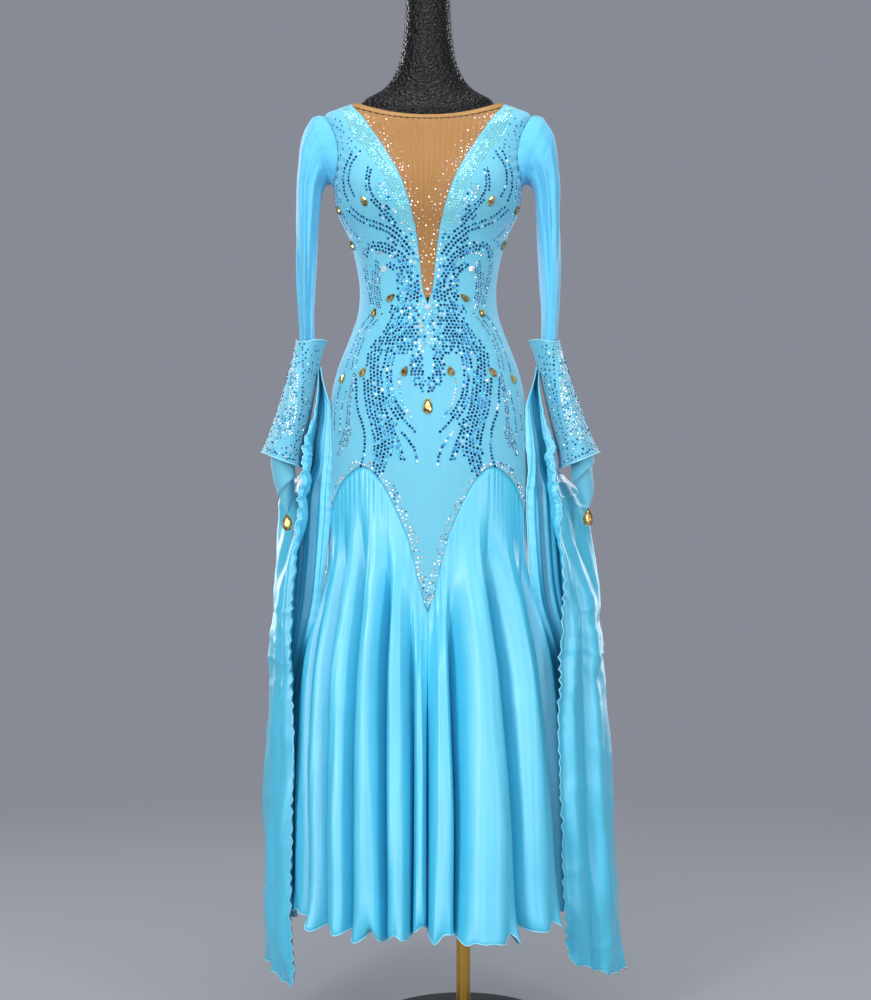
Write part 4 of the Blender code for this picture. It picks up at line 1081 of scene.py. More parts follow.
def build_hand_points():
    """The sleeve's pointed end below each cuff, folded over on a diagonal crease."""
    made = {}
    for side, (sign, *_) in ARMS.items():
        sections = hand_sections(side)
        crease_x, crease_z = HAND_CREASE[side]
        rows = []
        for r in range(HAND_RINGS + 1):
            up = r / HAND_RINGS
            x, z, half, depth = table_row(sections, up * (len(sections) - 1))
            open_share = math.sin(math.pi * min(1.0, up * 1.3) / 2)
            row = []
            for i in range(HAND_COLUMNS):
                turn = 2 * math.pi * i / HAND_COLUMNS
                share = (1 + math.sin(turn)) / 2
                px = mix(x - half, x + half, share)
                above = z - crease_z - HAND_CREASE_SLOPE * (sign * px - crease_x)
                lap = smooth_step(above / 0.0030 + 0.5) - 0.5
                roll = math.exp(-(((above - 0.003) / 0.006) ** 2))
                push = (0.0085 * lap + 0.0034 * roll) * open_share * max(0.0, math.cos(turn)) ** 0.5
                push += 0.0013 * open_share * math.sin(3 * turn + 9 * up + sign) * math.sin(math.pi * up)
                push += 0.0016 * open_share * soft_noise(px * 70, z * 40, sign)
                y = HAND_POINT_Y - (depth + push) * math.cos(turn)
                row.append(Vector((sign * (px + push * math.sin(turn)), y, z)))
            rows.append(row)
        name = f"hand_point_{side}"
        rows = facing_out(rows, sign)
        made[name] = cloth_piece(name, rows, "crepe", FINE_MESH, "crepe", (0.12, 0.14), closed=True)
    return made


def cuff_inner_face(side, y, z):
    inner_x, outer_x = ARMS[side][1:3]
    share = (CUFF_TOP_Z - z) / (CUFF_TOP_Z - CUFF_INNER_Z)
    inner, outer = mix(CUFF_TOP_INNER_X, inner_x, share), mix(CUFF_TOP_OUTER_X, outer_x, share)
    away = (y - CUFF_Y) / mix(CUFF_TOP_DEPTH, CUFF_DEPTH, share)
    return mix(inner, outer, (1 - math.sqrt(1 - away * away)) / 2)


def float_plan(row, across):
    """Where a float hangs, seen from above, at one height: (x, y) on the +X side."""
    _, lip, front, bend, outer, turn, inner, back = row
    plan = (
        (0.0, lip, front),
        (0.6 * FLOAT_TURN, bend, mix(front, turn, 0.40)),
        (FLOAT_TURN, outer, turn),
        (mix(FLOAT_TURN, 1.0, 0.3), mix(outer, inner, 0.30), mix(turn, back, 0.22)),
        (mix(FLOAT_TURN, 1.0, 0.65), mix(outer, inner, 0.66), mix(turn, back, 0.62)),
        (1.0, inner, back),
    )
    return Vector((*table_at(plan, across), 0))


RUFFLE_PITCH, RUFFLE_REACH, CRINKLE_PITCH = 0.021, 0.007, 0.0085


def ruffle(length, away, seed):
    """(outward, sideways) push of a ruffled edge, small and uneven, at a length along it and away from it."""
    size = 0.55 + 1.1 * abs(soft_noise(length * 9, seed, 2))
    wave = 2 * math.pi * length / RUFFLE_PITCH + 4.0 * soft_noise(length * 14, seed, 7)
    fine = 2 * math.pi * length / CRINKLE_PITCH + 3.0 * soft_noise(length * 30, seed, 4)
    near = math.exp(-away / RUFFLE_REACH)
    crinkle = 0.0010 * math.exp(-away / 0.012) * math.sin(fine + 60 * away)
    return 0.0031 * size * near * math.sin(wave) + crinkle, 0.0016 * size * near * math.cos(wave + 0.8)


FRONT_FOLDS = {"left": 0.8, "right": 1.0}  # how strong the narrow folds of each float's front are
BACK_RUFFLE = 0.25  # how ruffled its other edge is, beside the front edge
NARROW_FOLD, WRINKLE_CREST = 0.0034, 0.0018
FLOAT_HEM_PITCH, FLOAT_HEM_DEPTH, FLOAT_HEM_RISE = 0.038, 0.0052, 0.0034


def float_swell(side, across, down, length, seed):
    """How far a float's folds and wrinkles push it out, at a share of its width and a length along it."""
    if across < FLOAT_TURN:
        folds = FRONT_WAVES * across / FLOAT_TURN
    else:
        folds = FRONT_WAVES + BACK_WAVES * (across - FLOAT_TURN) / (1 - FLOAT_TURN)
    facing = mix(1.0, -1.0, smooth_step((across - 0.34) / 0.16))
    front = 0.5 + 0.5 * facing
    turn = 2 * math.pi * (folds + 0.16 * soft_noise(down * 2.6, seed, folds * 0.5))
    push = FLOAT_WAVE * (math.cos(turn) - 0.30 * facing * math.cos(2 * turn))
    push += 0.0021 * math.cos(2.5 * turn + 1.4 + 2.0 * soft_noise(down * 3.2, seed, 5))
    narrow = 2 * math.pi * 3.2 * across / FLOAT_TURN + 2.6 * soft_noise(down * 2.4, seed, 9) + 0.8
    push += NARROW_FOLD * front * (math.cos(narrow) - 0.3 * math.cos(2 * narrow)) * FRONT_FOLDS[side]
    # slanting soft wrinkles with fine crests
    slant = soft_noise(length * 22 + down * 7, down * 15 - length * 12, seed)
    push += (0.0012 + 0.0048 * front) * slant
    crest = abs(soft_noise(length * 16 - down * 9, down * 21, seed + 4)) / 0.16
    return push + WRINKLE_CREST * (1 - min(1.0, crest)) * front


def float_row(side, shares, down):
    """A row of points of a float, from its front edge to its back edge, down from the cuff."""
    sign, table = ARMS[side][0], FLOATS[side]
    row = table_row(table, down * (len(table) - 1))
    grown, hung = smooth_step(4 * down), smooth_step(11 * down)
    seed = 3.0 if sign > 0 else 11.0
    plan = [float_plan(row, share) for share in shares]
    lengths = [0.0]
    for a, b in zip(plan, plan[1:]):
        lengths.append(lengths[-1] + (b - a).length)
    points = []
    for i, (across, place) in enumerate(zip(shares, plan)):
        along = (plan[min(i + 1, len(plan) - 1)] - plan[max(i - 1, 0)]).normalized()
        out = Vector((along.y, -along.x, 0))
        push = float_swell(side, across, down, lengths[i], seed)
        z = row[0]
        away = min(1.0, abs(across - FLOAT_POINTS[side]) / FLOAT_POINT_REACH)
        z -= FLOAT_POINT_DROP * math.cos(math.pi / 2 * away) ** 1.2 * down**6
        slide = 0.0
        for edge, turned in ((lengths[i], -1), (lengths[-1] - lengths[i], 1)):
            raised, sideways = ruffle(FLOAT_TOP_Z - z, edge, seed + turned)
            size = 1.0 if turned < 0 else BACK_RUFFLE
            push += raised * size
            slide += turned * sideways * size
        low = math.exp(-(1 - down) / 0.018)
        wave = 2 * math.pi * lengths[i] / FLOAT_HEM_PITCH + 3.0 * soft_noise(lengths[i] * 12, seed, 8)
        push += FLOAT_HEM_DEPTH * low * math.sin(wave)
        z += FLOAT_HEM_RISE * low * math.cos(wave)
        point = place + out * (push * grown) + along * (slide * grown)
        if hung < 1:
            behind = min(1.0, 4 * max(0.0, across - FLOAT_TURN) / (1 - FLOAT_TURN))
            y = float_plan(table[0], across).y
            x = cuff_inner_face(side, y, FLOAT_TOP_Z) - 3 * SEAM_GAP
            x -= FLOAT_TOP_FOLD * math.sin(math.pi / 2 * behind)
            point = Vector((x, y, 0)).lerp(point, hung)
        points.append(Vector((sign * point.x, point.y, z)))
    return points


FLOAT_COLUMNS, FLOAT_ROWS = 120, 205
FLOAT_EDGE_RADIUS = 0.0009
EDGE_CROWDING = 0.09  # how much closer the columns stand near the ruffled edges


def build_floats():
    made = {}
    shares = []
    for column in range(FLOAT_COLUMNS + 1):
        even = column / FLOAT_COLUMNS
        shares.append(even - EDGE_CROWDING * math.sin(2 * math.pi * even))
    for side, (sign, *_) in ARMS.items():
        rows = [float_row(side, shares, 1 - r / FLOAT_ROWS) for r in range(FLOAT_ROWS + 1)]
        border = [row[0] for row in reversed(rows)] + rows[0][1:] + [row[-1] for row in rows[1:]]
        name = f"float_{side}"
        piece = cloth_piece(name, facing_out(rows, sign), "satin", SATIN, "satin", (0.30, 1.0))
        made[name] = (piece, [edge_piece(f"{name}_rolled_edge_painted_highlight", border, FLOAT_EDGE_RADIUS, "satin")])
    return made


# ---------------------------------------------------------------- stones
STONE_SIDES = 8
STONE_PROFILE = ((1.0, 0.0), (1.0, 0.16), (0.56, 0.62))  # scale and height of each ring, in radii
STONE_TILT = 0.22
STONE_RADIUS = 0.00232
STONE_PITCH = 0.0059
ROW_SQUEEZE = 0.87  # the rows of a field are closer than its stones
FINE_RADIUS = 0.00155  # the smaller stones of the sides, the edge of the V and the seams
FINE_PITCH = 0.0042
V_EDGE_TRIES, SHOULDER_TRIES, CUFF_TRIES = 620, 110, 330  # scattered stones, before the crowded ones go
FINE_PALETTES = ("side", "rosy", "mint", "glitter")
PALETTES = {  # stone: share
    "dark": (("sapphire", 0.80), ("capri", 0.14), ("aqua", 0.03), ("crystal", 0.03)),
    "middle": (("sapphire", 0.46), ("capri", 0.32), ("aqua", 0.12), ("crystal", 0.10)),
    "light": (("aqua", 0.42), ("crystal", 0.28), ("aurora", 0.16), ("capri", 0.14)),
    "mint": (("mint", 0.74), ("aurora", 0.19), ("crystal", 0.07)),
    "side": (("violet", 0.52), ("sapphire", 0.28), ("aurora", 0.20)),
    "rosy": (("rose", 0.62), ("aurora", 0.38)),
    "trim": (("aurora", 0.46), ("rose", 0.20), ("violet", 0.20), ("crystal", 0.14)),
    "glitter": (("crystal", 0.42), ("aurora", 0.28), ("violet", 0.16), ("capri", 0.14)),
    "speck": (("sapphire", 0.50), ("violet", 0.28), ("capri", 0.22)),
}
# Bands of stones on the front, mirrored: each has a palette, its width at its start and its end, and the
# points (x, z) that its middle line runs through. A width of 0 is a single row.
BANDS = (
    ("dark", 0.006, 0.016, (0.090, 1.402), (0.095, 1.376), (0.091, 1.352), (0.074, 1.331), (0.055, 1.309)),
    ("dark", 0.0, 0.0, (0.108, 1.427), (0.123, 1.404), (0.126, 1.378), (0.117, 1.354)),
    ("dark", 0.0, 0.0, (0.120, 1.428), (0.133, 1.400), (0.135, 1.372), (0.128, 1.350)),
    ("side", 0.004, 0.018, (0.144, 1.408), (0.147, 1.385), (0.146, 1.355),
     (0.140, 1.328), (0.126, 1.302), (0.112, 1.286)),
    ("dark", 0.014, 0.020, (0.127, 1.338), (0.107, 1.319), (0.085, 1.308),
     (0.064, 1.299), (0.044, 1.283), (0.027, 1.262)),
    ("mint", 0.024, 0.016, (0.135, 1.508), (0.122, 1.484), (0.101, 1.449), (0.079, 1.414),
     (0.057, 1.376), (0.041, 1.338), (0.031, 1.305)),
    ("light", 0.024, 0.012, (0.076, 1.368), (0.066, 1.342), (0.050, 1.322),
     (0.036, 1.298), (0.025, 1.268), (0.018, 1.235)),
    ("dark", 0.012, 0.022, (0.098, 1.262), (0.094, 1.274), (0.082, 1.276), (0.064, 1.270),
     (0.047, 1.259), (0.033, 1.243), (0.023, 1.226)),
    ("dark", 0.022, 0.022, (0.023, 1.226), (0.020, 1.208), (0.022, 1.190)),
    ("side", 0.004, 0.004, (0.101, 1.277), (0.102, 1.256), (0.099, 1.233), (0.094, 1.209), (0.089, 1.185)),
    ("rosy", 0.0, 0.0, (0.086, 1.262), (0.078, 1.2645), (0.066, 1.262), (0.056, 1.256)),
    ("dark", 0.012, 0.016, (0.063, 1.247), (0.050, 1.237), (0.040, 1.221), (0.039, 1.204), (0.046, 1.193)),
    ("side", 0.010, 0.012, (0.081, 1.252), (0.083, 1.225), (0.083, 1.201), (0.078, 1.180)),
    ("dark", 0.028, 0.026, (0.086, 1.108), (0.088, 1.080), (0.087, 1.058), (0.083, 1.020),
     (0.0735, 0.987), (0.0695, 0.958), (0.075, 0.930), (0.081, 0.910)),
    ("dark", 0.024, 0.006, (0.056, 1.112), (0.064, 1.078), (0.0625, 1.045),
     (0.056, 1.024), (0.042, 1.002), (0.020, 0.978)),
    ("dark", 0.016, 0.006, (0.060, 1.000), (0.056, 0.980), (0.047, 0.957), (0.038, 0.930)),
    ("middle", 0.0, 0.0, (0.040, 0.976), (0.030, 0.964), (0.021, 0.950), (0.0155, 0.926)),
    ("light", 0.0, 0.0, (0.0445, 1.062), (0.0435, 1.042), (0.040, 1.024), (0.026, 1.001)),
    ("dark", 0.0, 0.0, (0.114, 1.062), (0.1115, 1.015), (0.101, 0.981), (0.101, 0.944), (0.112, 0.908)),
    ("side", 0.006, 0.006, (0.070, 1.176), (0.084, 1.160), (0.102, 1.136), (0.113, 1.106), (0.120, 1.074)),
    ("side", 0.0, 0.0, (0.080, 1.178), (0.100, 1.160), (0.116, 1.130), (0.128, 1.096), (0.138, 1.060)),
    ("side", 0.004, 0.011, (0.116, 1.072), (0.124, 1.034), (0.127, 0.998), (0.130, 0.972), (0.143, 0.944)),
    ("side", 0.0, 0.0, (0.131, 1.044), (0.139, 1.010), (0.142, 0.975)),
    ("side", 0.0, 0.0, (0.1415, 1.052), (0.149, 1.016), (0.151, 0.984)),
)
# Fields of stones: at each height, from how far out to how far out they lie.
WAIST_FIELD = (
    (1.216, 0.012, 0.032),
    (1.190, 0.006, 0.052),
    (1.157, 0.000, 0.064),
    (1.130, 0.000, 0.078),
    (1.112, 0.000, 0.092),
    (1.100, 0.033, 0.098),
)
SHIELD_FIELD = (
    (1.114, 0.0050, 0.0300),
    (1.092, 0.0080, 0.0300),
    (1.072, 0.0060, 0.0285),
    (1.060, 0.0000, 0.0240),
    (1.047, 0.0000, 0.0160),
    (1.036, 0.0000, 0.0030),
)
BARE_EDGE = 0.0028  # left bare round each drop stone
BARE_DROPS = [(x, z, lean, w + BARE_EDGE, l + BARE_EDGE) for x, z, lean, w, l in DROPS]
BARE_DROPS.append((0.0, 1.092, 0, 0.0048, 0.0135))  # a bare spot above the lowest drop


class Stones:
    """All the stones that were set, by kind, none closer than its neighbours allow."""

    def __init__(self):
        self.random = random.Random(11)
        self.set = {kind: [] for kind in STONES}
        self.cells = {}

    def free(self, place, apart):
        key = tuple(int(v // 0.004) for v in place)
        for dx in (-1, 0, 1):
            for dy in (-1, 0, 1):
                for dz in (-1, 0, 1):
                    for other in self.cells.get((key[0] + dx, key[1] + dy, key[2] + dz), ()):
                        if (other - place).length < apart:
                            return False
        self.cells.setdefault(key, []).append(place)
        return True

    def pick(self, palette):
        value = self.random.random()
        for kind, share in PALETTES[palette]:
            value -= share
            if value < 0:
                return kind
        return PALETTES[palette][0][0]

    def add(self, palette, place, outward, radius=STONE_RADIUS, apart=None):
        kind = palette if palette in STONES else self.pick(palette)
        if self.free(place, radius * 2.06 if apart is None else apart):
            draws = [self.random.random() for _ in range(3)]
            self.set[kind].append((place, outward, radius, *draws))

    def build(self):
        for kind, stones in self.set.items():
            points, faces = [], []
            for place, outward, radius, spin, tip, lean in stones:
                tilt = Vector((tip - 0.5, 0, lean - 0.5)) * STONE_TILT
                up = (outward + tilt).normalized()
                side = up.orthogonal().normalized()
                other = up.cross(side)
                first = len(points)
                for scale, height in STONE_PROFILE:
                    for k in range(STONE_SIDES):
                        turn = 2 * math.pi * (k + spin) / STONE_SIDES
                        flat = (side * math.cos(turn) + other * math.sin(turn)) * radius * scale
                        points.append(place + flat + up * (radius * height))
                for level in (0, 1):
                    for k in range(STONE_SIDES):
                        low, high = first + level * STONE_SIDES, first + (level + 1) * STONE_SIDES
                        after = (k + 1) % STONE_SIDES
                        faces.append((low + k, low + after, high + after, high + k))
                faces.append(tuple(first + 2 * STONE_SIDES + k for k in range(STONE_SIDES)))
            mesh = bpy.data.meshes.new(f"stones_{kind}")
            mesh.from_pydata([tuple(p) for p in points], [], faces)
            mesh.validate()
            settle(new_object(f"stones_{kind}", mesh, STONES[kind]))


def curve_points(points, step):
    """Points a step apart on the smooth curve through the given ones, with the share of its length."""
    fine = [table_row(points, (len(points) - 1) * i / 200) for i in range(201)]
    lengths = [0.0]
    for a, b in zip(fine, fine[1:]):
        lengths.append(lengths[-1] + math.dist(a, b))
    count = max(2, round(lengths[-1] / step))
    found, k = [], 0
    for i in range(count + 1):
        target = lengths[-1] * i / count
        while k < len(lengths) - 2 and lengths[k + 1] < target:
            k += 1
        share = (target - lengths[k]) / max(1e-9, lengths[k + 1] - lengths[k])
        found.append(([mix(a, b, share) for a, b in zip(fine[k], fine[k + 1])], i / count))
    return found


def on_front(tree, x, z):
    """The point and outward direction of the cloth that is met from the front at x and z."""
    place, normal, _, _ = tree.ray_cast(Vector((x, -1.0, z)), Vector((0, 1, 0)))
    if place is None:
        return None
    if normal.y > 0:
        normal = -normal
    return place, normal


def near_drop(x, z, margin=0.0):
    for dx, dz, lean, wide, long in BARE_DROPS:
        turn = math.radians(lean)
        ax, az = abs(x) - dx, z - dz
        across = ax * math.cos(turn) - az * math.sin(turn)
        along = ax * math.sin(turn) + az * math.cos(turn)
        if (across / (wide + margin)) ** 2 + (along / (long + margin)) ** 2 < 1:
            return True
    return False


def stone_band(stones, tree, sign, palette, start, end, *points):
    """Rows of stones along a band, set by hand: even, but never in a perfect grid."""
    pick = stones.random
    fine = palette in FINE_PALETTES
    pitch, size = (FINE_PITCH, FINE_RADIUS) if fine else (STONE_PITCH, STONE_RADIUS)
    widest = max(start, end)
    rows = round(widest / pitch) + 1
    line = curve_points(points, pitch)
    for k in range(rows):
        off = (k / (rows - 1) - 0.5) * widest if rows > 1 else 0.0
        for i, ((x, z), share) in enumerate(line):
            j = min(i, len(line) - 2)
            (x0, z0), (x1, z1) = line[j][0], line[j + 1][0]
            length = math.hypot(x1 - x0, z1 - z0) or 1.0
            width = mix(start, end, share) * min(1.0, 0.45 + 3.2 * min(share, 1 - share))
            if abs(off) > width / 2 + 0.0012:
                continue
            slide = 0.5 * pitch * (k % 2)
            px = x + (x1 - x0) / length * slide - (z1 - z0) / length * off + pick.gauss(0, 0.0003)
            pz = z + (z1 - z0) / length * slide + (x1 - x0) / length * off + pick.gauss(0, 0.0003)
            set_stone(stones, tree, sign, palette, px, pz, size * pick.uniform(0.92, 1.08))


def set_stone(stones, tree, sign, palette, x, z, radius, on_mesh=False, apart=None):
    if x < 0.0008 or near_drop(x, z):
        return
    if not on_mesh and z > WAIST_Z and x < v_half_width(z) + radius + 0.0004:
        return
    found = on_front(tree, sign * x, z)
    if found:
        stones.add(palette, *found, radius=radius, apart=apart)


def stone_field(stones, tree, sign, table, palette_at):
    """Stones set close over a field, in rows that are a little uneven."""
    pick = stones.random
    z, row = table[0][0], 0
    while z > table[-1][0]:
        inner, outer = table_at(table, z)
        x = inner + STONE_PITCH * (0.25 + 0.5 * (row % 2))
        while x < outer:
            px, pz = x + pick.gauss(0, 0.0004), z + pick.gauss(0, 0.0004)
            set_stone(stones, tree, sign, palette_at(px), px, pz, STONE_RADIUS * pick.uniform(0.92, 1.06))
            x += STONE_PITCH
        z -= STONE_PITCH * ROW_SQUEEZE
        row += 1


def scatter_v_edge(stones, trees, sign):
    """Small rosy stones on the nude mesh along the V, thinner towards its middle, and a few outside it."""
    pick = stones.random
    bodice, inset = trees
    for _ in range(V_EDGE_TRIES):
        z = mix(1.188, 1.492, pick.random() ** 0.9)
        edge = v_half_width(z)
        away = abs(pick.gauss(0, 0.0105))
        x = edge - 0.0012 - away
        if pick.random() < 0.45:
            x = edge + 0.0022 + pick.random() * 0.008
        spread = 0.0046 + 0.10 * away
        if x < 0.002:
            continue
        inside = x < edge
        tree = inset if inside else bodice
        palette = "rosy" if pick.random() < 0.8 else "aurora"
        radius = FINE_RADIUS * pick.uniform(0.85, 1.2)
        set_stone(stones, tree, sign, palette, x, z, radius, on_mesh=True, apart=spread)


def scatter_shoulder(stones, tree, sign):
    """Single small stones that thin out from the band at the V towards the shoulder."""
    pick = stones.random
    for _ in range(SHOULDER_TRIES):
        z = pick.uniform(1.415, 1.486)
        start = mix(0.100, 0.128, (z - 1.415) / 0.07)
        x = start + abs(pick.gauss(0, 0.016)) + 0.004
        if x > 0.158:
            continue
        palette = "sapphire" if pick.random() < 0.6 else "violet"
        set_stone(stones, tree, sign, palette, x, z, FINE_RADIUS * 0.95, apart=0.0075)


def trim_seam(stones, trees):
    """Stones of several sizes along the pointed seam, all the way round, in a loose band."""
    pick = stones.random
    bodice_front, bodice_back = trees
    degrees = -180.0
    while degrees < 180.0:
        z = seam_z(degrees)
        slope = (seam_z(degrees + 0.5) - seam_z(degrees - 0.5)) / 0.003
        length = math.hypot(1.0, slope)
        degrees += 0.34 * 6.0 / length
        for off in (0.0022, 0.0068, 0.0118):
            if pick.random() < (0.02, 0.16, 0.48)[(off > 0.004) + (off > 0.01)]:
                continue
            shift = -slope / length * off / 0.0030 + pick.gauss(0, 0.25)
            at = (degrees + shift, position_at(z + off / length + pick.gauss(0, 0.0008), degrees + shift))
            place = figure(*at)
            if place.z < seam_z(at[0]) + 0.0018:
                continue
            outward = figure_normal(*at)
            tree = bodice_front if outward.y < 0 else bodice_back
            hit, normal, _, _ = tree.ray_cast(place + outward * 0.02, -outward)
            if hit is None:
                continue
            radius = FINE_RADIUS * pick.uniform(0.9, 1.35)
            stones.add("trim", hit, normal if normal.dot(outward) > 0 else -normal, radius)


CUFF_BANDS = (  # on the cuff's front, as (share across from its inner to its outer edge, share down)
    ("glitter", 0.006, 0.020, (0.80, 0.10), (0.68, 0.28), (0.54, 0.46), (0.46, 0.62), (0.44, 0.78)),
    ("glitter", 0.008, 0.010, (0.52, 0.40), (0.56, 0.60), (0.66, 0.78), (0.70, 0.90)),
)
CUFF_LINES = (  # single rows of dark stones that frame the glitter
    ((0.94, 0.16), (0.90, 0.40), (0.86, 0.62), (0.90, 0.84)),
    ((0.60, 0.06), (0.40, 0.26), (0.26, 0.48), (0.20, 0.72), (0.26, 0.94)),
    ((0.06, 0.96), (0.30, 0.965), (0.60, 0.965), (0.95, 0.96)),
)


def stone_cuffs(stones, pieces):
    pick = stones.random
    for side, (sign, inner_x, outer_x, *_) in ARMS.items():
        tree = tree_of(pieces[f"cuff_{side}"].data)

        def place(across, down):
            low, high = mix(CUFF_TOP_INNER_X, inner_x, down), mix(CUFF_TOP_OUTER_X, outer_x, down)
            z = mix(CUFF_TOP_Z, mix(CUFF_INNER_Z, CUFF_OUTER_Z, across), down)
            return mix(low, high, across), z

        for palette, start, end, *points in CUFF_BANDS:
            stone_band(stones, tree, sign, palette, start, end, *[place(*point) for point in points])
        for points in CUFF_LINES:
            for (across, down), _ in curve_points(points, 0.034):
                x, z = place(across + pick.gauss(0, 0.012), down + pick.gauss(0, 0.006))
                radius = FINE_RADIUS * pick.uniform(1.0, 1.3)
                set_stone(stones, tree, sign, "speck", x, z, radius, apart=FINE_PITCH)
        for _ in range(CUFF_TRIES):
            across, down = pick.uniform(0.04, 0.97), pick.uniform(0.03, 0.98)
            x, z = place(across, down)
            palette = "speck" if pick.random() < 0.8 else "glitter"
            set_stone(stones, tree, sign, palette, x, z, FINE_RADIUS * pick.uniform(0.9, 1.25), apart=0.0054)


BIG_STONES = (  # kind, x, z, radius
    ("crystal", 0.0, 1.1755, 0.0048),
    ("crystal", 0.0705, 1.2390, 0.0056),
    ("aurora", 0.0, 1.205, 0.0030),
)


def waist_palette(x):
    return "light" if x < 0.016 else "middle" if x < 0.036 else "dark"


def build_stones(trees, pieces):
    stones = Stones()
    front, inset_tree = trees[0], tree_of(pieces["v_inset"].data)
    for kind, x, z, radius in BIG_STONES:
        for sign in (1, -1) if x else (1,):
            tree = inset_tree if x == 0 and z > WAIST_Z + 0.01 else front
            found = on_front(tree, sign * x, z)
            if found:
                stones.add(kind, *found, radius=radius)
    for sign in (1, -1):
        for band in BANDS:
            stone_band(stones, front, sign, *band)
        stone_field(stones, front, sign, WAIST_FIELD, waist_palette)
        stone_field(stones, front, sign, SHIELD_FIELD, lambda x: "middle")
        scatter_v_edge(stones, (front, inset_tree), sign)
        scatter_shoulder(stones, front, sign)
    trim_seam(stones, trees)
    stone_cuffs(stones, pieces)
    return stones


DROP_SIDES = 16
DROP_PROFILE = ((0.94, 0.0), (1.0, 0.22), (0.80, 0.70), (0.50, 1.0))  # scale and share of the height


def drop_mesh(points, faces, half_width, half_length, place, outward, upward):
    """A pear-shaped stone: a flat back, a girdle, two rings of facets and a table."""
    across = upward.cross(outward).normalized()
    sides = DROP_SIDES
    first = len(points)
    for scale, height in DROP_PROFILE:
        for i in range(sides):
            turn = 2 * math.pi * (i + 0.5) / sides
            wide = half_width * math.sin(turn) * abs(math.sin(turn / 2)) ** 0.9 * 1.25
            long = half_length * math.cos(turn)
            points.append(place + (across * wide + upward * long) * scale + outward * (DROP_HEIGHT * height))
    for level in range(3):
        for k in range(sides):
            low, high = first + level * sides, first + (level + 1) * sides
            after = (k + 1) % sides
            faces.append((low + after, low + k, high + k, high + after))
    faces.append(tuple(first + k for k in range(sides)))
    faces.append(tuple(first + 3 * sides + k for k in reversed(range(sides))))


def drop_piece(name, points, faces, *nodes):
    mesh = bpy.data.meshes.new(name)
    mesh.from_pydata([tuple(p) for p in points], [], faces)
    settle(new_object(name, mesh, MATERIALS["drop"]), *nodes, slot="gold_glass")


def build_drops():
    points, faces, number = [], [], 0
    for x, z, lean, half_width, half_length in DROPS:
        for sign in (1, -1) if x else (1,):
            number += 1
            at = seen_at(sign * x, z)
            outward = figure_normal(*at)
            turn = Matrix.Rotation(math.radians(sign * lean), 3, outward)
            upward = turn @ (Vector((0, 0, 1)) - outward * outward.z).normalized()
            drop_mesh(points, faces, half_width, half_length, figure(*at) + outward * 0.0006, outward, upward)
    drop_piece("drop_stones", points, faces, *[f"drop_{k:02d}" for k in range(1, number + 1)])
    half_width, half_length = HANGING_DROP
    for side, (sign, _, _, tip_x, tip_z) in ARMS.items():
        points, faces = [], []
        place = Vector((sign * tip_x, HAND_POINT_Y, tip_z - half_length - 0.001))
        for outward in (Vector((0, -1, 0)), Vector((0, 1, 0))):
            drop_mesh(points, faces, half_width, half_length, place, outward, Vector((0, 0, 1)))
        drop_piece(f"hanging_stone_{side}", points, faces, f"hanging_drop_{side}")


# ---------------------------------------------------------------- dress form and stand
FORM_COLUMNS, FORM_ROWS = 96, 120
FORM_RIM = ((0.93, 0.006), (0.97, 0.0045), (0.99, 0.002))  # rounded ends: scale, distance past the last row
FORM_CROWN = ((0.98, 0.002), (0.93, 0.0045), (0.84, 0.006))


def build_form():
    """The form inside the cloth, smooth and whole, with its neck showing above the neckline."""
    low_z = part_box("form_torso")[0].z + FORM_RIM[0][1]
    top_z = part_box("form_torso")[1].z - FORM_CROWN[-1][1]
    rows = []
    first = position_at(low_z, 0.0)
    for r in range(FORM_ROWS + 1):
        position = mix(first, NECK_TOP_RING - 0.03, r / FORM_ROWS)
        share = 1 - smooth_step(position - NECKLINE_RING)
        shoulder = smooth_step((position - 11) / 2) * (1 - smooth_step(position - NECKLINE_RING + 1) / 2)
        clearance = mix(FORM_CLEARANCE, FORM_SHOULDER_CLEARANCE, shoulder) * share
        row = []
        for c in range(FORM_COLUMNS):
            degrees = 360.0 * c / FORM_COLUMNS
            row.append(figure(degrees, position) - figure_normal(degrees, position) * clearance)
        rows.append(row)
    for point in rows[0]:
        point.z = low_z
    for point in rows[-1]:
        point.z = top_z
    rim = [[Vector((p.x * s, p.y * s, low_z - past)) for p in rows[0]] for s, past in FORM_RIM]
    crown = [[Vector((p.x * s, p.y * s, top_z + past)) for p in rows[-1]] for s, past in FORM_CROWN]
    mesh = grid_mesh("form", [*rim, *rows, *crown], closed=True, size=(0.9, 0.9))
    work = bmesh.new()
    work.from_mesh(mesh)
    work.verts.ensure_lookup_table()
    total = len(work.verts)
    work.faces.new([work.verts[i] for i in reversed(range(FORM_COLUMNS))])
    work.faces.new([work.verts[i] for i in range(total - FORM_COLUMNS, total)])
    work.to_mesh(mesh)
    work.free()
    return settle(new_object("form_torso_shell", mesh, MATERIALS["form"]), "form_torso", slot="form_cover")


def finish_stand():
    for node, material in (("stand_pole", "brass"), ("stand_base", "base")):
        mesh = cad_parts[node].data
        if not mesh.materials:
            mesh.materials.append(MATERIALS[material])
        for k in range(len(mesh.materials)):
            mesh.materials[k] = MATERIALS[material]


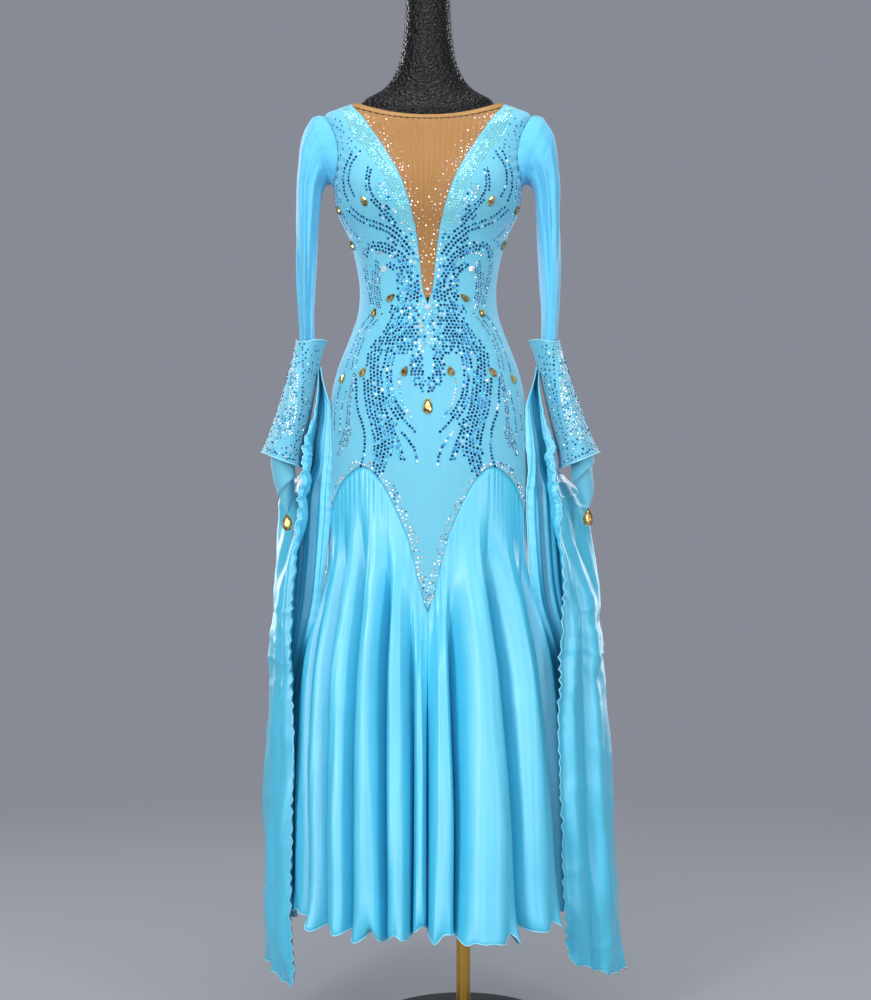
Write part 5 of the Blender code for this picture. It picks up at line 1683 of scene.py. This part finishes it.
# ---------------------------------------------------------------- studio
CAMERA_PLACE = (0.0124, -2.6, 0.87)
CAMERA_LENS = 57.0
LIGHTS = (  # name, place, target, width, height, watts
    ("key", (-1.45, -2.35, 1.75), (0, 0, 0.95), 0.55, 2.6, 52),
    ("fill", (1.75, -2.0, 1.55), (0, 0, 0.9), 0.45, 2.6, 27),
    ("front", (0.0, -3.2, 1.25), (0, 0, 0.85), 1.6, 1.8, 22),
    ("top", (0, -0.5, 3.2), (0, 0, 1.0), 1.2, 1.2, 22),
    ("back_left", (-1.8, 2.0, 1.7), (0, 0, 0.9), 0.6, 2.4, 34),
    ("back_right", (1.8, 2.0, 1.5), (0, 0, 0.9), 0.6, 2.4, 26),
)
WORLD_COLOUR = (0.245, 0.258, 0.300, 1.0)
FLOOR_RADIUS = 6.0


def area_light(name, place, target, width, height, power):
    data = bpy.data.lights.new(name, "AREA")
    data.shape = "RECTANGLE"
    data.size, data.size_y = width, height
    data.energy = power
    light = bpy.data.objects.new(name, data)
    bpy.context.scene.collection.objects.link(light)
    light.location = place
    light.rotation_euler = (Vector(target) - Vector(place)).to_track_quat("-Z", "Y").to_euler()


def build_studio():
    scene = bpy.context.scene
    camera_data = bpy.data.cameras.new("camera")
    camera_data.lens = CAMERA_LENS
    camera_data.sensor_width = 36.0
    camera_data.sensor_fit = "AUTO"
    camera_data.dof.use_dof = False
    camera = bpy.data.objects.new("camera", camera_data)
    camera.location = CAMERA_PLACE
    camera.rotation_euler = (math.radians(90), 0, 0)
    scene.collection.objects.link(camera)
    scene.camera = camera
    scene.view_settings.view_transform = "Standard"

    world = bpy.data.worlds.new("studio")
    scene.world = world
    world.use_nodes = True
    world.node_tree.nodes["Background"].inputs["Color"].default_value = WORLD_COLOUR
    world.node_tree.nodes["Background"].inputs["Strength"].default_value = 1.0

    for light in LIGHTS:
        area_light(*light)

    work = bmesh.new()
    bmesh.ops.create_circle(work, cap_ends=True, radius=FLOOR_RADIUS, segments=96)
    mesh = bpy.data.meshes.new("floor")
    work.to_mesh(mesh)
    work.free()
    made = Shader("pale_floor", (0.36, 0.37, 0.40), 0.7)
    centre = made.node("TexCoord").outputs["Object"]
    radius = made.node("VectorMath", {0: centre}, operation="LENGTH").outputs["Value"]
    inputs = {"Value": radius, "From Min": 0.4, "From Max": 2.4, "To Min": 0.7, "To Max": 0.0}
    fade = made.node("MapRange", inputs, interpolation_type="SMOOTHSTEP")
    floor = new_object("floor", mesh, made.finish({"Alpha": fade.outputs["Result"]}))
    floor.location.z = cad_box[0][2] - 0.0002


# ---------------------------------------------------------------- the whole
def main():
    build_studio()
    build_form()
    finish_stand()
    pieces = build_bodice()
    front_back = [pieces[name] for name in ("bodice_front", "bodice_back")]
    pieces["v_inset"], pieces["neck_binding"] = build_inset()
    edged = build_skirt()
    edged.update(build_cuffs())
    pieces.update(build_sleeves())
    pieces.update(build_hand_points())
    edged.update(build_floats())
    pieces.update({name: piece for name, (piece, _) in edged.items()})
    build_drops()
    bpy.context.view_layer.update()
    graph = bpy.context.evaluated_depsgraph_get()
    trees = [tree_of(piece.evaluated_get(graph).to_mesh()) for piece in front_back]
    build_stones(trees, pieces).build()


main()
